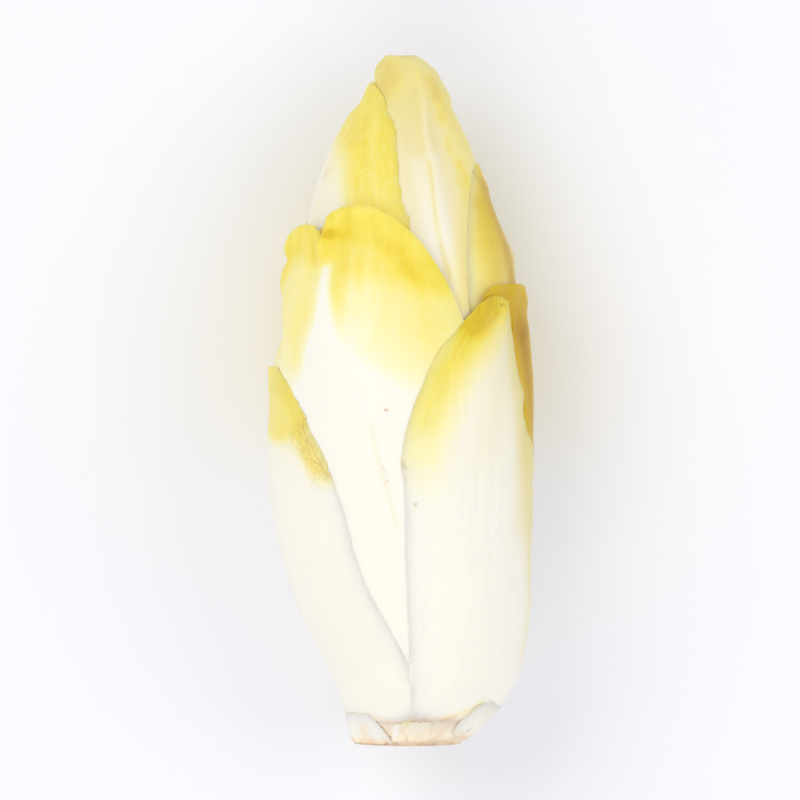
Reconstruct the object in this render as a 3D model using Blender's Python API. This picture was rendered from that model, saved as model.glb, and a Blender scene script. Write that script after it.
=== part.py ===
"""A Belgian endive lying on its side: cut stem, leaf stubs and leaves, each one closed solid.

The head lies along Y with its cut foot towards -Y and its tip towards +Y, and rests on z = 0.
Its shape is worked out from the outside in. A round-bellied hull bounds the whole head. The
outermost leaf takes the hull as its outer face, each next leaf takes what room the leaves
around it leave, and the cone of the stem fills the middle of the foot.

Turns go round the head in degrees, from 0 straight up, through +90 at +X, to 180 underneath.
Heights are distances along the head from the cut foot. Sizes here are in millimetres.
"""

import math
from dataclasses import dataclass

import bmesh
import bpy
import numpy as np

MM = 0.001

# Driving dimensions of the whole head.
LENGTH = 134.0
FLATNESS = 0.965  # height of a cross-section over its width
REST_DENT = 0.9  # how far the belly is flattened where it lies
# (height, half width) of the hull, from the cut foot to the tip.
HULL_WIDTHS = (
    (0.0, 10.6),
    (6.0, 14.7),
    (15.0, 18.9),
    (30.0, 23.4),
    (57.0, 25.9),
    (90.0, 22.6),
    (112.0, 15.2),
    (126.0, 8.8),
    (134.0, 4.0),
    (136.0, 2.2),
)
AXIS_HEIGHT = FLATNESS * max(width for _, width in HULL_WIDTHS) - REST_DENT
# (height, shift to +X) of the middle of the hull: the foot is bent over, and the tip a little.
HULL_SHIFTS = (
    (0.0, 1.4),
    (7.0, 4.2),
    (13.0, 4.9),
    (26.0, 2.9),
    (42.0, 0.7),
    (60.0, 0.0),
    (117.0, 0.0),
    (122.5, 0.5),
    (126.5, 1.3),
    (130.5, 1.25),
    (134.0, 0.3),
)
# (height, radius) of the stem: a cut disc at the foot, then a cone up to the growing point.
STEM_RADII = ((0.0, 10.2), (1.2, 10.9), (5.0, 11.2), (15.0, 8.9), (27.0, 6.2), (41.0, 3.1), (49.0, 1.1))

# Clearance between pieces, and the least thicknesses of a leaf.
GAP = 0.36
EDGE_THICKNESS = 0.55
FOOT_THICKNESS = 1.0
CORE_RADIUS = 0.7  # of the hollow round the middle line, which every leaf keeps out of
CORE_START = 8.0  # how far above the stem's point that hollow begins
SHORTEST_COLUMN = 6.0
TIP_CROWDING = 1.25  # how much closer the rows of a leaf stand towards its tip
FILLING = 2.4  # how many times thicker a leaf may grow to reach the leaf inside it
FACET_SLACK = 0.25  # extra clearance there, because flat facets cut a round face short

# How finely a leaf is divided, and the grid of turns and heights that keeps the leaves apart.
OUTER = (14, 11)
INNER = (10, 8)
STUB = (10, 2)
STEM_SIDES = 28
GRID_TURN = 3.0
GRID_STEP = 1.0
GRID_HEIGHTS = np.arange(0.0, LENGTH + 2.0, GRID_STEP)
TURNS, HEIGHTS = np.meshgrid(np.arange(-180.0, 180.0, GRID_TURN), GRID_HEIGHTS, indexing="ij")


@dataclass(frozen=True)
class Leaf:
    """One leaf, as the patch of the head that it covers."""

    name: str
    turn: float  # turn of its middle at the foot
    tip_turn: float  # turn of its tip
    foot: float  # height at which it leaves the stem
    tip: float  # height of its tip
    reach: tuple  # turn from its middle to its left and right edges
    drop: tuple  # how far its top edge falls from the tip to its left and right corners
    bluntness: tuple  # exponent of that fall on each side: 1 is pointed, 5 is square
    rib: float  # thickness of its midrib near the foot
    cells: tuple = OUTER
    standoff: float = 0.0  # how far it stands outside the hull

    def middle(self, height):
        """Turn of the leaf's middle line at a height."""
        return self.turn + (self.tip_turn - self.turn) * height / self.tip

    def top_edge(self, across):
        """Height of the top edge, for across from -1 at the left edge to 1 at the right edge."""
        left = self.drop[0] * np.abs(across) ** self.bluntness[0]
        right = self.drop[1] * np.abs(across) ** self.bluntness[1]
        return self.tip - np.where(across < 0.0, left, right)

    def thickness(self, across, along):
        """Thickness from the midrib to the thin margins, and from the foot (along = 0) to the tip."""
        lengthways = 1.0 - 0.7 * along**1.4
        return EDGE_THICKNESS + (self.rib - EDGE_THICKNESS) * (1.0 - across**2) ** 0.8 * lengthways

    def cell_size(self):
        """Degrees and millimetres from one point of the leaf's grid to the next."""
        columns, rows = self.cells
        return max(self.reach) * 2.0 / columns, (self.tip - self.foot) / rows


ROUND = (80.0, 80.0)  # reach of a leaf inside the head

# Stubs of outer leaves that were snapped off, round the cut foot.
STUBS = (
    Leaf("leaf_stub_left", -58.0, -58.0, 0.5, 6.4, (42.0, 38.0), (1.5, 0.4), (2.0, 3.0), 1.7, STUB, 1.0),
    Leaf("leaf_stub_right", 60.0, 60.0, 1.2, 8.8, (26.0, 76.0), (1.2, 3.0), (2.0, 1.2), 1.5, STUB, 0.3),
    Leaf("leaf_stub_front", 7.0, 7.0, 0.9, 5.4, (24.0, 24.0), (0.3, 0.3), (3.0, 3.0), 1.3, STUB, 1.3),
    Leaf("leaf_stub_under", 174.0, 174.0, 0.8, 5.4, (34.0, 34.0), (1.6, 1.6), (3.0, 3.0), 1.3, STUB, 1.0),
    Leaf("leaf_stub_back", -124.0, -124.0, 1.4, 6.2, (22.0, 22.0), (1.8, 1.8), (3.0, 3.0), 1.4, STUB, 1.0),
)
# The leaves, from the outermost to the heart.
LEAVES = (
    Leaf("leaf_outer_right", 48.0, 57.0, 4.6, 87.3, (58.0, 47.0), (40.0, 52.0), (2.3, 1.1), 3.4),
    Leaf("leaf_outer_left", -100.0, -84.0, 4.4, 73.5, (55.0, 92.0), (30.0, 60.0), (2.5, 2.5), 3.2),
    Leaf("leaf_outer_under", 180.0, 180.0, 5.4, 96.0, (76.0, 76.0), (38.0, 38.0), (2.4, 2.4), 3.2),
    Leaf("leaf_right_back", 98.0, 85.0, 6.5, 89.5, (50.0, 62.0), (6.0, 34.0), (4.0, 2.4), 2.6),
    Leaf("leaf_front", -35.0, -25.0, 8.0, 104.4, (90.0, 72.0), (30.0, 45.0), (5.0, 2.4), 3.0),
    Leaf("leaf_left_back", -148.0, -150.0, 10.0, 108.0, (76.0, 76.0), (34.0, 34.0), (2.8, 2.8), 2.3),
    Leaf("leaf_right_side", 112.0, 118.0, 12.5, 113.0, (70.0, 72.0), (30.0, 34.0), (2.4, 2.8), 2.2),
    Leaf("leaf_upper_left", -75.0, -57.0, 15.0, 128.7, (76.0, 62.0), (30.0, 27.0), (4.0, 4.2), 2.1),
    Leaf("leaf_upper_under", 165.0, 170.0, 17.5, 122.0, ROUND, (30.0, 30.0), (3.6, 3.6), 1.9),
    Leaf("leaf_upper_right", 30.0, 20.0, 20.0, 134.0, (80.0, 88.0), (30.0, 30.0), (4.0, 5.0), 1.9),
    Leaf("leaf_inner_1", -112.0, -105.0, 23.0, 125.0, ROUND, (28.0, 28.0), (4.0, 4.0), 1.6, INNER),
    Leaf("leaf_inner_2", 102.0, 110.0, 26.0, 121.0, ROUND, (28.0, 28.0), (4.0, 4.0), 1.6, INNER),
    Leaf("leaf_inner_3", -22.0, -15.0, 29.0, 116.0, ROUND, (30.0, 30.0), (3.0, 3.0), 1.5, INNER),
    Leaf("leaf_inner_4", -160.0, -165.0, 32.0, 110.0, ROUND, (30.0, 30.0), (3.0, 3.0), 1.4, INNER),
    Leaf("leaf_inner_5", 60.0, 66.0, 35.0, 103.0, ROUND, (28.0, 28.0), (2.6, 2.6), 1.3, INNER),
    Leaf("leaf_inner_6", -75.0, -70.0, 38.0, 96.0, ROUND, (26.0, 26.0), (2.4, 2.4), 1.2, INNER),
)

# (base colour, roughness) of each finish.
WHITE_LEAF = ((0.88, 0.87, 0.78, 1.0), 0.38)
YELLOW_LEAF = ((0.86, 0.76, 0.33, 1.0), 0.42)
CUT_STEM = ((0.78, 0.66, 0.50, 1.0), 0.60)
WHITE_UP_TO = 100.0  # leaves that end lower than this are mostly white


def smooth_curve(points, at):
    """A smooth curve through (place, value) points that never overshoots them."""
    place, value = np.array(points).T
    at = np.clip(at, place[0], place[-1])
    step = np.diff(place)
    slope = np.diff(value) / step
    product = slope[:-1] * slope[1:]
    total = slope[:-1] + slope[1:]
    mean = np.where(product > 0.0, 2.0 * product / np.where(product > 0.0, total, 1.0), 0.0)
    tangent = np.concatenate([slope[:1], mean, slope[-1:]])
    i = np.clip(np.searchsorted(place, at, side="right") - 1, 0, len(step) - 1)
    t = (at - place[i]) / step[i]
    from_values = value[i] * (1.0 + 2.0 * t) * (1.0 - t) ** 2 + value[i + 1] * t**2 * (3.0 - 2.0 * t)
    return from_values + step[i] * t * (1.0 - t) * (tangent[i] * (1.0 - t) - tangent[i + 1] * t)


def hull_radius(turn, height):
    """Distance from the middle of a cross-section out to the hull, cut off flat underneath."""
    width = smooth_curve(HULL_WIDTHS, height)
    across = np.sin(np.radians(turn)) / width
    upright = np.cos(np.radians(turn)) / (width * FLATNESS)
    radius = 1.0 / np.hypot(across, upright)
    downward = np.maximum(-np.cos(np.radians(turn)), 1e-6)
    return np.minimum(radius, AXIS_HEIGHT / downward)


def stem_radius(height):
    return smooth_curve(STEM_RADII, height)


def core_radius(height):
    """The least inner radius of a leaf: clear of the stem, and of the middle line above the stem."""
    return np.where(height > STEM_RADII[-1][0] + CORE_START, CORE_RADIUS, stem_radius(height) + GAP)


def place_points(turn, height, radius):
    """World positions, in metres, of points given by turn, height and radius."""
    x = smooth_curve(HULL_SHIFTS, height) + radius * np.sin(np.radians(turn))
    z = AXIS_HEIGHT + radius * np.cos(np.radians(turn))
    return np.stack([x, height - LENGTH / 2.0, z], axis=-1) * MM


def read_grid(grid, turn, height):
    """The grid's value at any turn and height, by linear interpolation."""
    across = (np.asarray(turn) + 180.0) / GRID_TURN
    along = np.clip(np.asarray(height) / GRID_STEP, 0.0, grid.shape[1] - 1.001)
    i, j = np.floor(across).astype(int), np.floor(along).astype(int)
    s, t = across - i, along - j
    n = grid.shape[0]
    low = grid[i % n, j] * (1.0 - s) + grid[(i + 1) % n, j] * s
    high = grid[i % n, j + 1] * (1.0 - s) + grid[(i + 1) % n, j + 1] * s
    return low * (1.0 - t) + high * t


def spread_highest(grid, turns, heights):
    """The greatest of the grid's values within so many degrees and millimetres of each point."""
    across = math.ceil(turns / GRID_TURN)
    along = math.ceil(heights / GRID_STEP)
    highest = np.max([np.roll(grid, k, axis=0) for k in range(-across, across + 1)], axis=0)
    padded = np.pad(highest, ((0, 0), (along, along)), mode="edge")
    columns = grid.shape[1]
    return np.max([padded[:, k : k + columns] for k in range(2 * along + 1)], axis=0)


def foot_edge(leaf, turns, tops, taken):
    """Lowest height of each column of the leaf from which it has room outside the stem."""
    feet = []
    for turn, top in zip(turns, tops):
        room = hull_radius(turn, GRID_HEIGHTS) * (1.0 - read_grid(taken, turn, GRID_HEIGHTS))
        cramped = (room < stem_radius(GRID_HEIGHTS) + GAP + FOOT_THICKNESS) & (GRID_HEIGHTS < top)
        lowest = GRID_HEIGHTS[cramped].max() + GRID_STEP if cramped.any() else 0.0
        highest = top - min(SHORTEST_COLUMN, top - leaf.foot)
        feet.append(min(max(lowest, leaf.foot), highest))
    padded = np.pad(feet, 1, mode="edge")
    return np.max([padded[:-2], padded[1:-1], padded[2:]], axis=0)


@dataclass
class Faces:
    """The grid of points over one leaf: where they are, and the leaf's outer and inner radius there."""

    leaf: Leaf
    across: np.ndarray  # of each column, from -1 at the left edge to 1 at the right edge
    along: np.ndarray  # of each row, from 0 at the foot to 1 at the top edge
    foot: np.ndarray  # height of each column's lower end
    turn: np.ndarray
    height: np.ndarray
    outer: np.ndarray
    inner: np.ndarray

    def over_grid(self, radius):
        """The radius at every turn and height of the head's grid, and where the leaf covers it."""
        leaf = self.leaf
        away = (TURNS - leaf.middle(HEIGHTS) + 180.0) % 360.0 - 180.0
        reach = np.where(away < 0.0, leaf.reach[0], leaf.reach[1])
        across = away / reach
        covered = np.abs(across) <= 1.0 + GRID_TURN / reach
        across = np.clip(across, -1.0, 1.0)
        foot = np.interp(across, self.across, self.foot)
        column = leaf.top_edge(across) - foot
        along = (HEIGHTS - foot) / column
        covered &= np.abs(along - 0.5) < 0.5 + GRID_STEP / column
        columns, rows = leaf.cells
        i_full = (across + 1.0) / 2.0 * columns
        j_full = np.interp(along, self.along, np.arange(rows + 1))
        i = np.minimum(i_full.astype(int), columns - 1)
        j = np.minimum(j_full.astype(int), rows - 1)
        s, t = i_full - i, j_full - j
        near = radius[i, j] * (1.0 - s) + radius[i + 1, j] * s
        far = radius[i, j + 1] * (1.0 - s) + radius[i + 1, j + 1] * s
        return near * (1.0 - t) + far * t, covered


def lay_leaf(leaf, taken):
    """The leaf's faces, outside clear of what is taken up by the leaves around it."""
    columns, rows = leaf.cells
    across = np.linspace(-1.0, 1.0, columns + 1)
    along = 1.0 - np.linspace(1.0, 0.0, rows + 1) ** TIP_CROWDING
    away = across * np.where(across < 0.0, leaf.reach[0], leaf.reach[1])
    top = leaf.top_edge(across)
    spread = spread_highest(taken, *leaf.cell_size())
    foot = foot_edge(leaf, leaf.middle(leaf.foot) + away, top, spread)
    height = foot[:, None] + (top - foot)[:, None] * along
    turn = leaf.middle(height) + away[:, None]
    outer = hull_radius(turn, height) * (1.0 - read_grid(spread, turn, height)) + leaf.standoff
    thickness = leaf.thickness(across[:, None], along)
    inner = np.maximum(outer - thickness, core_radius(height))
    return Faces(leaf, across, along, foot, turn, height, outer, inner)


def take_room(faces, taken):
    """The share of the hull's radius taken up from outside, once this leaf is in."""
    radius, covered = faces.over_grid(faces.inner)
    columns, _ = faces.leaf.cells
    facet_dip = 1.0 - math.cos(math.radians(max(faces.leaf.reach) / columns))
    share = 1.0 - (radius * (1.0 - facet_dip) - GAP) / hull_radius(TURNS, HEIGHTS)
    return np.where(covered, np.maximum(taken, share), taken)


def fill_inwards(leaves):
    """Thickens each leaf towards the leaf inside it, from the heart outwards."""
    hull = hull_radius(TURNS, HEIGHTS)
    held = np.where(HEIGHTS <= STEM_RADII[-1][0], stem_radius(HEIGHTS), 0.0) / hull
    for faces in reversed(leaves):
        spread = spread_highest(held, *faces.leaf.cell_size())
        reached = hull_radius(faces.turn, faces.height) * read_grid(spread, faces.turn, faces.height)
        thickness = faces.leaf.thickness(faces.across[:, None], faces.along)
        fullest = EDGE_THICKNESS + FILLING * (thickness - EDGE_THICKNESS)
        core = core_radius(faces.height)
        limit = np.maximum(np.maximum(reached + GAP + FACET_SLACK, core), faces.outer - fullest)
        faces.inner = np.minimum(faces.inner, limit)
        radius, covered = faces.over_grid(faces.outer)
        held = np.where(covered, np.maximum(held, radius / hull), held)


def build_shell(faces):
    """A closed shell between the outer and the inner face of a leaf."""
    shell = bmesh.new()
    outside, inside = (
        [[shell.verts.new(point) for point in line] for line in place_points(faces.turn, faces.height, face)]
        for face in (faces.outer, faces.inner)
    )
    columns, rows = len(outside) - 1, len(outside[0]) - 1
    for i in range(columns):
        for j in range(rows):
            corners = ((i, j), (i + 1, j), (i + 1, j + 1), (i, j + 1))
            shell.faces.new([outside[a][b] for a, b in reversed(corners)])
            shell.faces.new([inside[a][b] for a, b in corners])
    rim = [(i, 0) for i in range(columns)] + [(columns, j) for j in range(rows)]
    rim += [(i, rows) for i in range(columns, 0, -1)] + [(0, j) for j in range(rows, 0, -1)]
    for (a, b), (c, d) in zip(rim, rim[1:] + rim[:1]):
        shell.faces.new([outside[a][b], outside[c][d], inside[c][d], inside[a][b]])
    bmesh.ops.recalc_face_normals(shell, faces=shell.faces)
    return shell


def build_stem():
    """The cut disc of the foot and the cone of the growing point, turned about the leaning middle."""
    heights = np.array([0.0, 1.2, 3.2, 5.0, 9.0, 15.0, 21.0, 27.0, 34.0, 41.0, 49.0])
    turns = np.arange(STEM_SIDES) * 360.0 / STEM_SIDES
    stem = bmesh.new()
    rings = []
    for height in heights:
        points = place_points(turns, np.full(STEM_SIDES, height), stem_radius(height))
        rings.append([stem.verts.new(point) for point in points])
    for low, high in zip(rings, rings[1:]):
        for k in range(STEM_SIDES):
            after = (k + 1) % STEM_SIDES
            stem.faces.new([low[k], low[after], high[after], high[k]])
    for ring in (rings[0], rings[-1]):
        stem.faces.new(ring)
    bmesh.ops.recalc_face_normals(stem, faces=stem.faces)
    return stem


def make_material(name, finish):
    colour, roughness = finish
    material = bpy.data.materials.new(name)
    material.use_nodes = True
    shader = material.node_tree.nodes["Principled BSDF"]
    shader.inputs["Base Color"].default_value = colour
    shader.inputs["Roughness"].default_value = roughness
    shader.inputs["Metallic"].default_value = 0.0
    material.diffuse_color = colour
    return material


def add_piece(name, shape, finish):
    mesh = bpy.data.meshes.new(name)
    shape.to_mesh(mesh)
    shape.free()
    mesh.shade_smooth()
    mesh.set_sharp_from_angle(angle=math.radians(50.0))
    mesh.materials.append(make_material(name, finish))
    piece = bpy.data.objects.new(name, mesh)
    bpy.context.scene.collection.objects.link(piece)
    return piece


def clear_scene():
    for old in list(bpy.data.objects):
        bpy.data.objects.remove(old, do_unlink=True)


def main():
    clear_scene()
    add_piece("stem", build_stem(), CUT_STEM)
    taken = np.zeros_like(TURNS)
    leaves = []
    for leaf in STUBS + LEAVES:
        leaves.append(lay_leaf(leaf, taken))
        taken = take_room(leaves[-1], taken)
    fill_inwards(leaves)
    for faces in leaves:
        finish = WHITE_LEAF if faces.leaf.tip < WHITE_UP_TO else YELLOW_LEAF
        add_piece(faces.leaf.name, build_shell(faces), finish)


main()
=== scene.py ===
"""A Belgian endive lying on a pale table, seen from straight above.

The head lies along Y with its cut foot towards -Y and its tip towards +Y. Every leaf is a thin
closed shell that is draped over the leaves inside it, from the outermost inwards. Sizes are in
millimetres, and places on the head are given by a turn in degrees (0 is straight up, +90 is
towards +X, 180 is underneath) and a height above the cut foot.
"""

import logging
import math
from collections.abc import Iterator
from dataclasses import dataclass
from enum import Enum
from typing import Any

import bpy
import numpy as np
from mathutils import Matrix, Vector


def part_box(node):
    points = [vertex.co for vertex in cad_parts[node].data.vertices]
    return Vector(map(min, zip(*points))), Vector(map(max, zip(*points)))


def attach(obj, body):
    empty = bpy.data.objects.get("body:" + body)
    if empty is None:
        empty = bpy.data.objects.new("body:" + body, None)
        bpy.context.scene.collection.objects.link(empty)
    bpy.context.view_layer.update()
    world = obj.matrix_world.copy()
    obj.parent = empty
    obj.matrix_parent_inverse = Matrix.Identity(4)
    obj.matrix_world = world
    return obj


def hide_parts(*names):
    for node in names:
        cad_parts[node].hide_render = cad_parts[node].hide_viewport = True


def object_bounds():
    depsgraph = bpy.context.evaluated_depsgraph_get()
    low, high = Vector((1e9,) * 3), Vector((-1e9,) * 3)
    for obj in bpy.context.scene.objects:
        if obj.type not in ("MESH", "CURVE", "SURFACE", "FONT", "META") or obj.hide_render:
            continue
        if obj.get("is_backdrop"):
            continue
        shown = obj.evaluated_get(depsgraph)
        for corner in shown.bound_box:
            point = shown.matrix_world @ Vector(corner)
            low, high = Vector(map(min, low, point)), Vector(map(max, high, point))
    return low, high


log = logging.getLogger("endive")
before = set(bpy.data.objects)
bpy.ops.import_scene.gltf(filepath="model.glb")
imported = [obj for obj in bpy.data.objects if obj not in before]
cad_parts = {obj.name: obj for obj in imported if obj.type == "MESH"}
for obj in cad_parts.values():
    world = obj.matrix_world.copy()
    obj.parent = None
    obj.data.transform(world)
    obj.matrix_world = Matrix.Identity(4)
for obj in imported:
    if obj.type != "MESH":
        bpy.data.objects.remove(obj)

MM = 0.001
DEGREE = math.radians(1.0)
Points = tuple[tuple[float, float], ...]
Layers = dict[str, np.ndarray]
Stops = tuple[tuple[float, str], ...]


def smooth_curve(points: Points, at: np.ndarray | float) -> np.ndarray:
    """A smooth curve through points, which never overshoots them.

    Args:
        points: (place, value) pairs in rising order of place.
        at: the places to read the curve at; outside the points it keeps the end values.

    Returns:
        The curve's value at each place.
    """
    place, value = np.array(points, float).T
    at = np.clip(at, place[0], place[-1])
    step = np.diff(place)
    slope = np.diff(value) / step
    product = slope[:-1] * slope[1:]
    total = slope[:-1] + slope[1:]
    mean = np.where(product > 0.0, 2.0 * product / np.where(product > 0.0, total, 1.0), 0.0)
    tangent = np.concatenate([slope[:1], mean, slope[-1:]])
    i = np.clip(np.searchsorted(place, at, side="right") - 1, 0, len(step) - 1)
    t = (at - place[i]) / step[i]
    from_values = value[i] * (1.0 + 2.0 * t) * (1.0 - t) ** 2 + value[i + 1] * t**2 * (3.0 - 2.0 * t)
    from_tangents = (tangent[i] * t * (1.0 - t) ** 2 - tangent[i + 1] * t**2 * (1.0 - t)) * step[i]
    return from_values + from_tangents


def soft_step(value: np.ndarray, low: float, high: float) -> np.ndarray:
    """0 below low, 1 above high and a smooth rise between them."""
    t = np.clip((value - low) / (high - low), 0.0, 1.0)
    return t * t * (3.0 - 2.0 * t)


def bump_at(distance: np.ndarray, width: float | np.ndarray) -> np.ndarray:
    """1 where the distance is 0, falling smoothly to a third at one width."""
    return np.exp(-((distance / width) ** 2))


class Ripple:
    """Seeded smooth unevenness over a surface, as a sum of waves in random directions."""

    WAVES = 14

    def __init__(self, seed: int, wavelength: float, stretch: float = 1.0) -> None:
        """Draws the waves.

        Args:
            seed: the same seed gives the same waves.
            wavelength: their mean length across the leaf, in mm.
            stretch: how many times longer they are along the leaf.
        """
        random = np.random.default_rng(seed)
        angle = random.uniform(0.0, math.tau, self.WAVES)
        pace = math.tau / wavelength * random.uniform(0.6, 1.5, self.WAVES)
        self.across = pace * np.cos(angle)
        self.along = pace * np.sin(angle) / stretch
        self.phase = random.uniform(0.0, math.tau, self.WAVES)

    def at(self, across: np.ndarray, along: np.ndarray) -> np.ndarray:
        """Reads the waves.

        Args:
            across: mm across the leaf.
            along: mm along it.

        Returns:
            Their height, mostly between -1 and 1.
        """
        total = np.zeros(np.broadcast(across, along).shape)
        for pace_x, pace_y, phase in zip(self.across, self.along, self.phase):
            total += np.cos(pace_x * across + pace_y * along + phase)
        return total / math.sqrt(self.WAVES)


class Hull(Enum):
    """The body of the head that a leaf follows, as (share of the length, share of the half width)."""

    OUTER = (
        (0.0, 0.409), (0.045, 0.568), (0.112, 0.730), (0.224, 0.903), (0.425, 1.0),
        (0.672, 0.873), (0.836, 0.587), (0.940, 0.335), (1.0, 0.154), (1.015, 0.085),
    )
    CORE = (
        (0.0, 0.36), (0.425, 0.90), (0.672, 0.80), (0.754, 0.70), (0.804, 0.645), (0.850, 0.56),
        (0.882, 0.487), (0.914, 0.405), (0.940, 0.325), (0.974, 0.239), (0.996, 0.158), (1.005, 0.120),
    )


@dataclass(frozen=True)
class HeadForm:
    """The outside form of the whole head, with its size taken from the modelled parts."""

    length: float
    half_width: float
    height: float
    foot_y: float
    flatness: float = 0.965  # height of a cross-section over its width
    rest_dent: float = 0.9  # how far the belly is flattened where it lies
    shifts: Points = (  # sideways bend of the middle line
        (0.0, 1.4), (7.0, 4.2), (13.0, 4.9), (26.0, 2.9), (42.0, 0.7), (60.0, 0.0),
        (117.0, 0.0), (122.5, 0.5), (126.5, 1.3), (130.5, 1.25), (134.0, 0.3),
    )
    stem_radii: Points = (
        (0.0, 10.2), (1.2, 10.9), (2.5, 11.4), (5.0, 11.9), (15.0, 9.2), (27.0, 6.2), (41.0, 3.1), (49.0, 1.1),
    )

    @classmethod
    def from_bounds(cls, low: Vector, high: Vector) -> "HeadForm":
        """The form that fills the box of the modelled parts, given its corners in metres."""
        size = (high - low) / MM
        return cls(size.y, size.x / 2.0, size.z, low.y / MM)

    @property
    def axis_height(self) -> float:
        """Height of the head's middle line above the table."""
        return self.flatness * self.half_width - self.rest_dent

    def radius(self, hull: Hull, turn: np.ndarray, height: np.ndarray) -> np.ndarray:
        """Distance from the middle of the head out to a hull, cut off flat underneath.

        Args:
            hull: which body of the head.
            turn: turns round the head in degrees.
            height: heights above the cut foot.

        Returns:
            The distance at each place.
        """
        width = smooth_curve(hull.value, height / self.length) * self.half_width
        angle = np.radians(turn)
        round_radius = 1.0 / np.hypot(np.sin(angle) / width, np.cos(angle) / (width * self.flatness))
        downward = np.maximum(-np.cos(angle), 1e-6)
        return np.minimum(round_radius, self.axis_height / downward)

    def place(self, turn: np.ndarray, height: np.ndarray, radius: np.ndarray) -> np.ndarray:
        """World positions in metres.

        Args:
            turn: turns round the head in degrees.
            height: heights above the cut foot.
            radius: distances from the middle.

        Returns:
            Positions, with x, y, z along the last axis.
        """
        x = smooth_curve(self.shifts, height) + radius * np.sin(np.radians(turn))
        z = self.axis_height + radius * np.cos(np.radians(turn))
        return np.stack([x, height + self.foot_y, np.maximum(z, 0.0)], axis=-1) * MM


class Effect(Enum):
    """What a mark does to the leaf that it is on."""

    RAISE = "raise"
    YELLOW = "yellow"
    OCHRE = "ochre"
    CREAM = "cream"
    BROWN = "brown"
    # deepens the ochre towards brown: partly the leaf's own colour, partly painted shade where a side turns
    # from the light
    DEEP_OCHRE_AND_SHADE = "aged"  # deepens the ochre
    CUT = "cut"


class Margin(Enum):
    """A part of a leaf's edge."""

    LEFT = 0
    TOP = 1
    RIGHT = 2


RAISE, YELLOW, OCHRE, CREAM, BROWN, DEEP_OCHRE_AND_SHADE, CUT = Effect
LEFT, TOP, RIGHT = Margin


@dataclass(frozen=True)
class Outline:
    """A leaf's edge: turns of its sides by height, and heights of its ends from left (-1) to right (1)."""

    left: Points
    right: Points
    top: Points
    foot: Points

    @classmethod
    def plain(
        cls, turn: float, tip_turn: float, reach: float, foot: float, tip: float, drop: float
    ) -> "Outline":
        """A broad leaf with an even, rounded tip.

        Args:
            turn: turn of its middle at the foot.
            tip_turn: turn of its tip.
            reach: turn from its middle to either side.
            foot: height of its lower end.
            tip: height of its tip.
            drop: how far its corners lie below the tip.

        Returns:
            The outline.
        """
        corner = tip - drop
        left, right = (
            (
                (foot, turn + side * reach),
                (corner * 0.75, 0.4 * turn + 0.6 * tip_turn + side * reach),
                (corner + 2.0, tip_turn + side * reach * 0.86),
            )
            for side in (-1.0, 1.0)
        )
        across = (-1.0, -0.85, -0.65, -0.4, 0.0, 0.4, 0.65, 0.85, 1.0)
        top = tuple((x, tip - drop * abs(x) ** 2.6) for x in across)
        return cls(left, right, top, ((-1.0, foot), (1.0, foot)))

    def moved_to(self, foot: float, tip: float) -> "Outline":
        """The same outline with its lower end and tip at other heights.

        Args:
            foot: height of the lowest point.
            tip: height of the highest point.

        Returns:
            The moved outline.
        """
        low = min(height for _, height in self.foot)
        high = max(height for _, height in self.top)
        scale = (tip - foot) / (high - low)
        sides, ends = (self.left, self.right), (self.top, self.foot)
        sides = (tuple((foot + (h - low) * scale, turn) for h, turn in side) for side in sides)
        ends = (tuple((x, foot + (h - low) * scale) for x, h in end) for end in ends)
        return Outline(*sides, *ends)


@dataclass
class Surface:
    """A leaf laid on the head: arrays over its columns (across) and rows (along)."""

    outline: Outline
    across: np.ndarray  # from -1 to 1
    along: np.ndarray  # from 0 to 1
    turn: np.ndarray
    height: np.ndarray
    radius: np.ndarray  # of the hull that it follows
    distance: np.ndarray  # mm from each margin: left, top, right
    outer: np.ndarray  # radius of its outer face
    inner: np.ndarray

    @property
    def from_edge(self) -> np.ndarray:
        """Distance in mm from the nearest margin."""
        return self.distance.min(axis=0)

    @property
    def above_foot(self) -> np.ndarray:
        """Height in mm above the foot edge."""
        return self.height - self.height[:, :1]


@dataclass(frozen=True)
class Mark:
    """A soft line or spot on a leaf: a rib, a crease, a dimple, a streak or a blemish."""

    effect: Effect
    amount: float  # mm outwards for RAISE, else a change of strength
    path: Points  # (turn, height) points
    width: float  # half width in mm where it starts
    end_width: float | None = None
    end_amount: float | None = None

    def strength(self, leaf: Surface) -> np.ndarray:
        """The mark's effect at each point of a leaf.

        Args:
            leaf: the laid leaf.

        Returns:
            The amount, fading to 0 away from the path.
        """
        path = self.path if len(self.path) > 1 else self.path * 2
        scale = DEGREE * leaf.radius
        nearest = np.full(leaf.turn.shape, np.inf)
        share = np.zeros(leaf.turn.shape)
        lengths = [math.dist(a, b) for a, b in zip(path, path[1:])]
        whole = sum(lengths) or 1.0
        done = 0.0
        for (turn_a, height_a), (turn_b, height_b), length in zip(path, path[1:], lengths):
            run_x, run_y = (turn_b - turn_a) * scale, height_b - height_a
            away_x, away_y = (leaf.turn - turn_a) * scale, leaf.height - height_a
            t = np.clip((away_x * run_x + away_y * run_y) / (run_x**2 + run_y**2 + 1e-9), 0.0, 1.0)
            distance = np.hypot(away_x - t * run_x, away_y - t * run_y)
            closer = distance < nearest
            nearest = np.where(closer, distance, nearest)
            share = np.where(closer, (done + t * length) / whole, share)
            done += length
        end_width = self.width if self.end_width is None else self.end_width
        end_amount = self.amount if self.end_amount is None else self.end_amount
        width = self.width + (end_width - self.width) * share
        return (self.amount + (end_amount - self.amount) * share) * bump_at(nearest, width)


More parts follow.
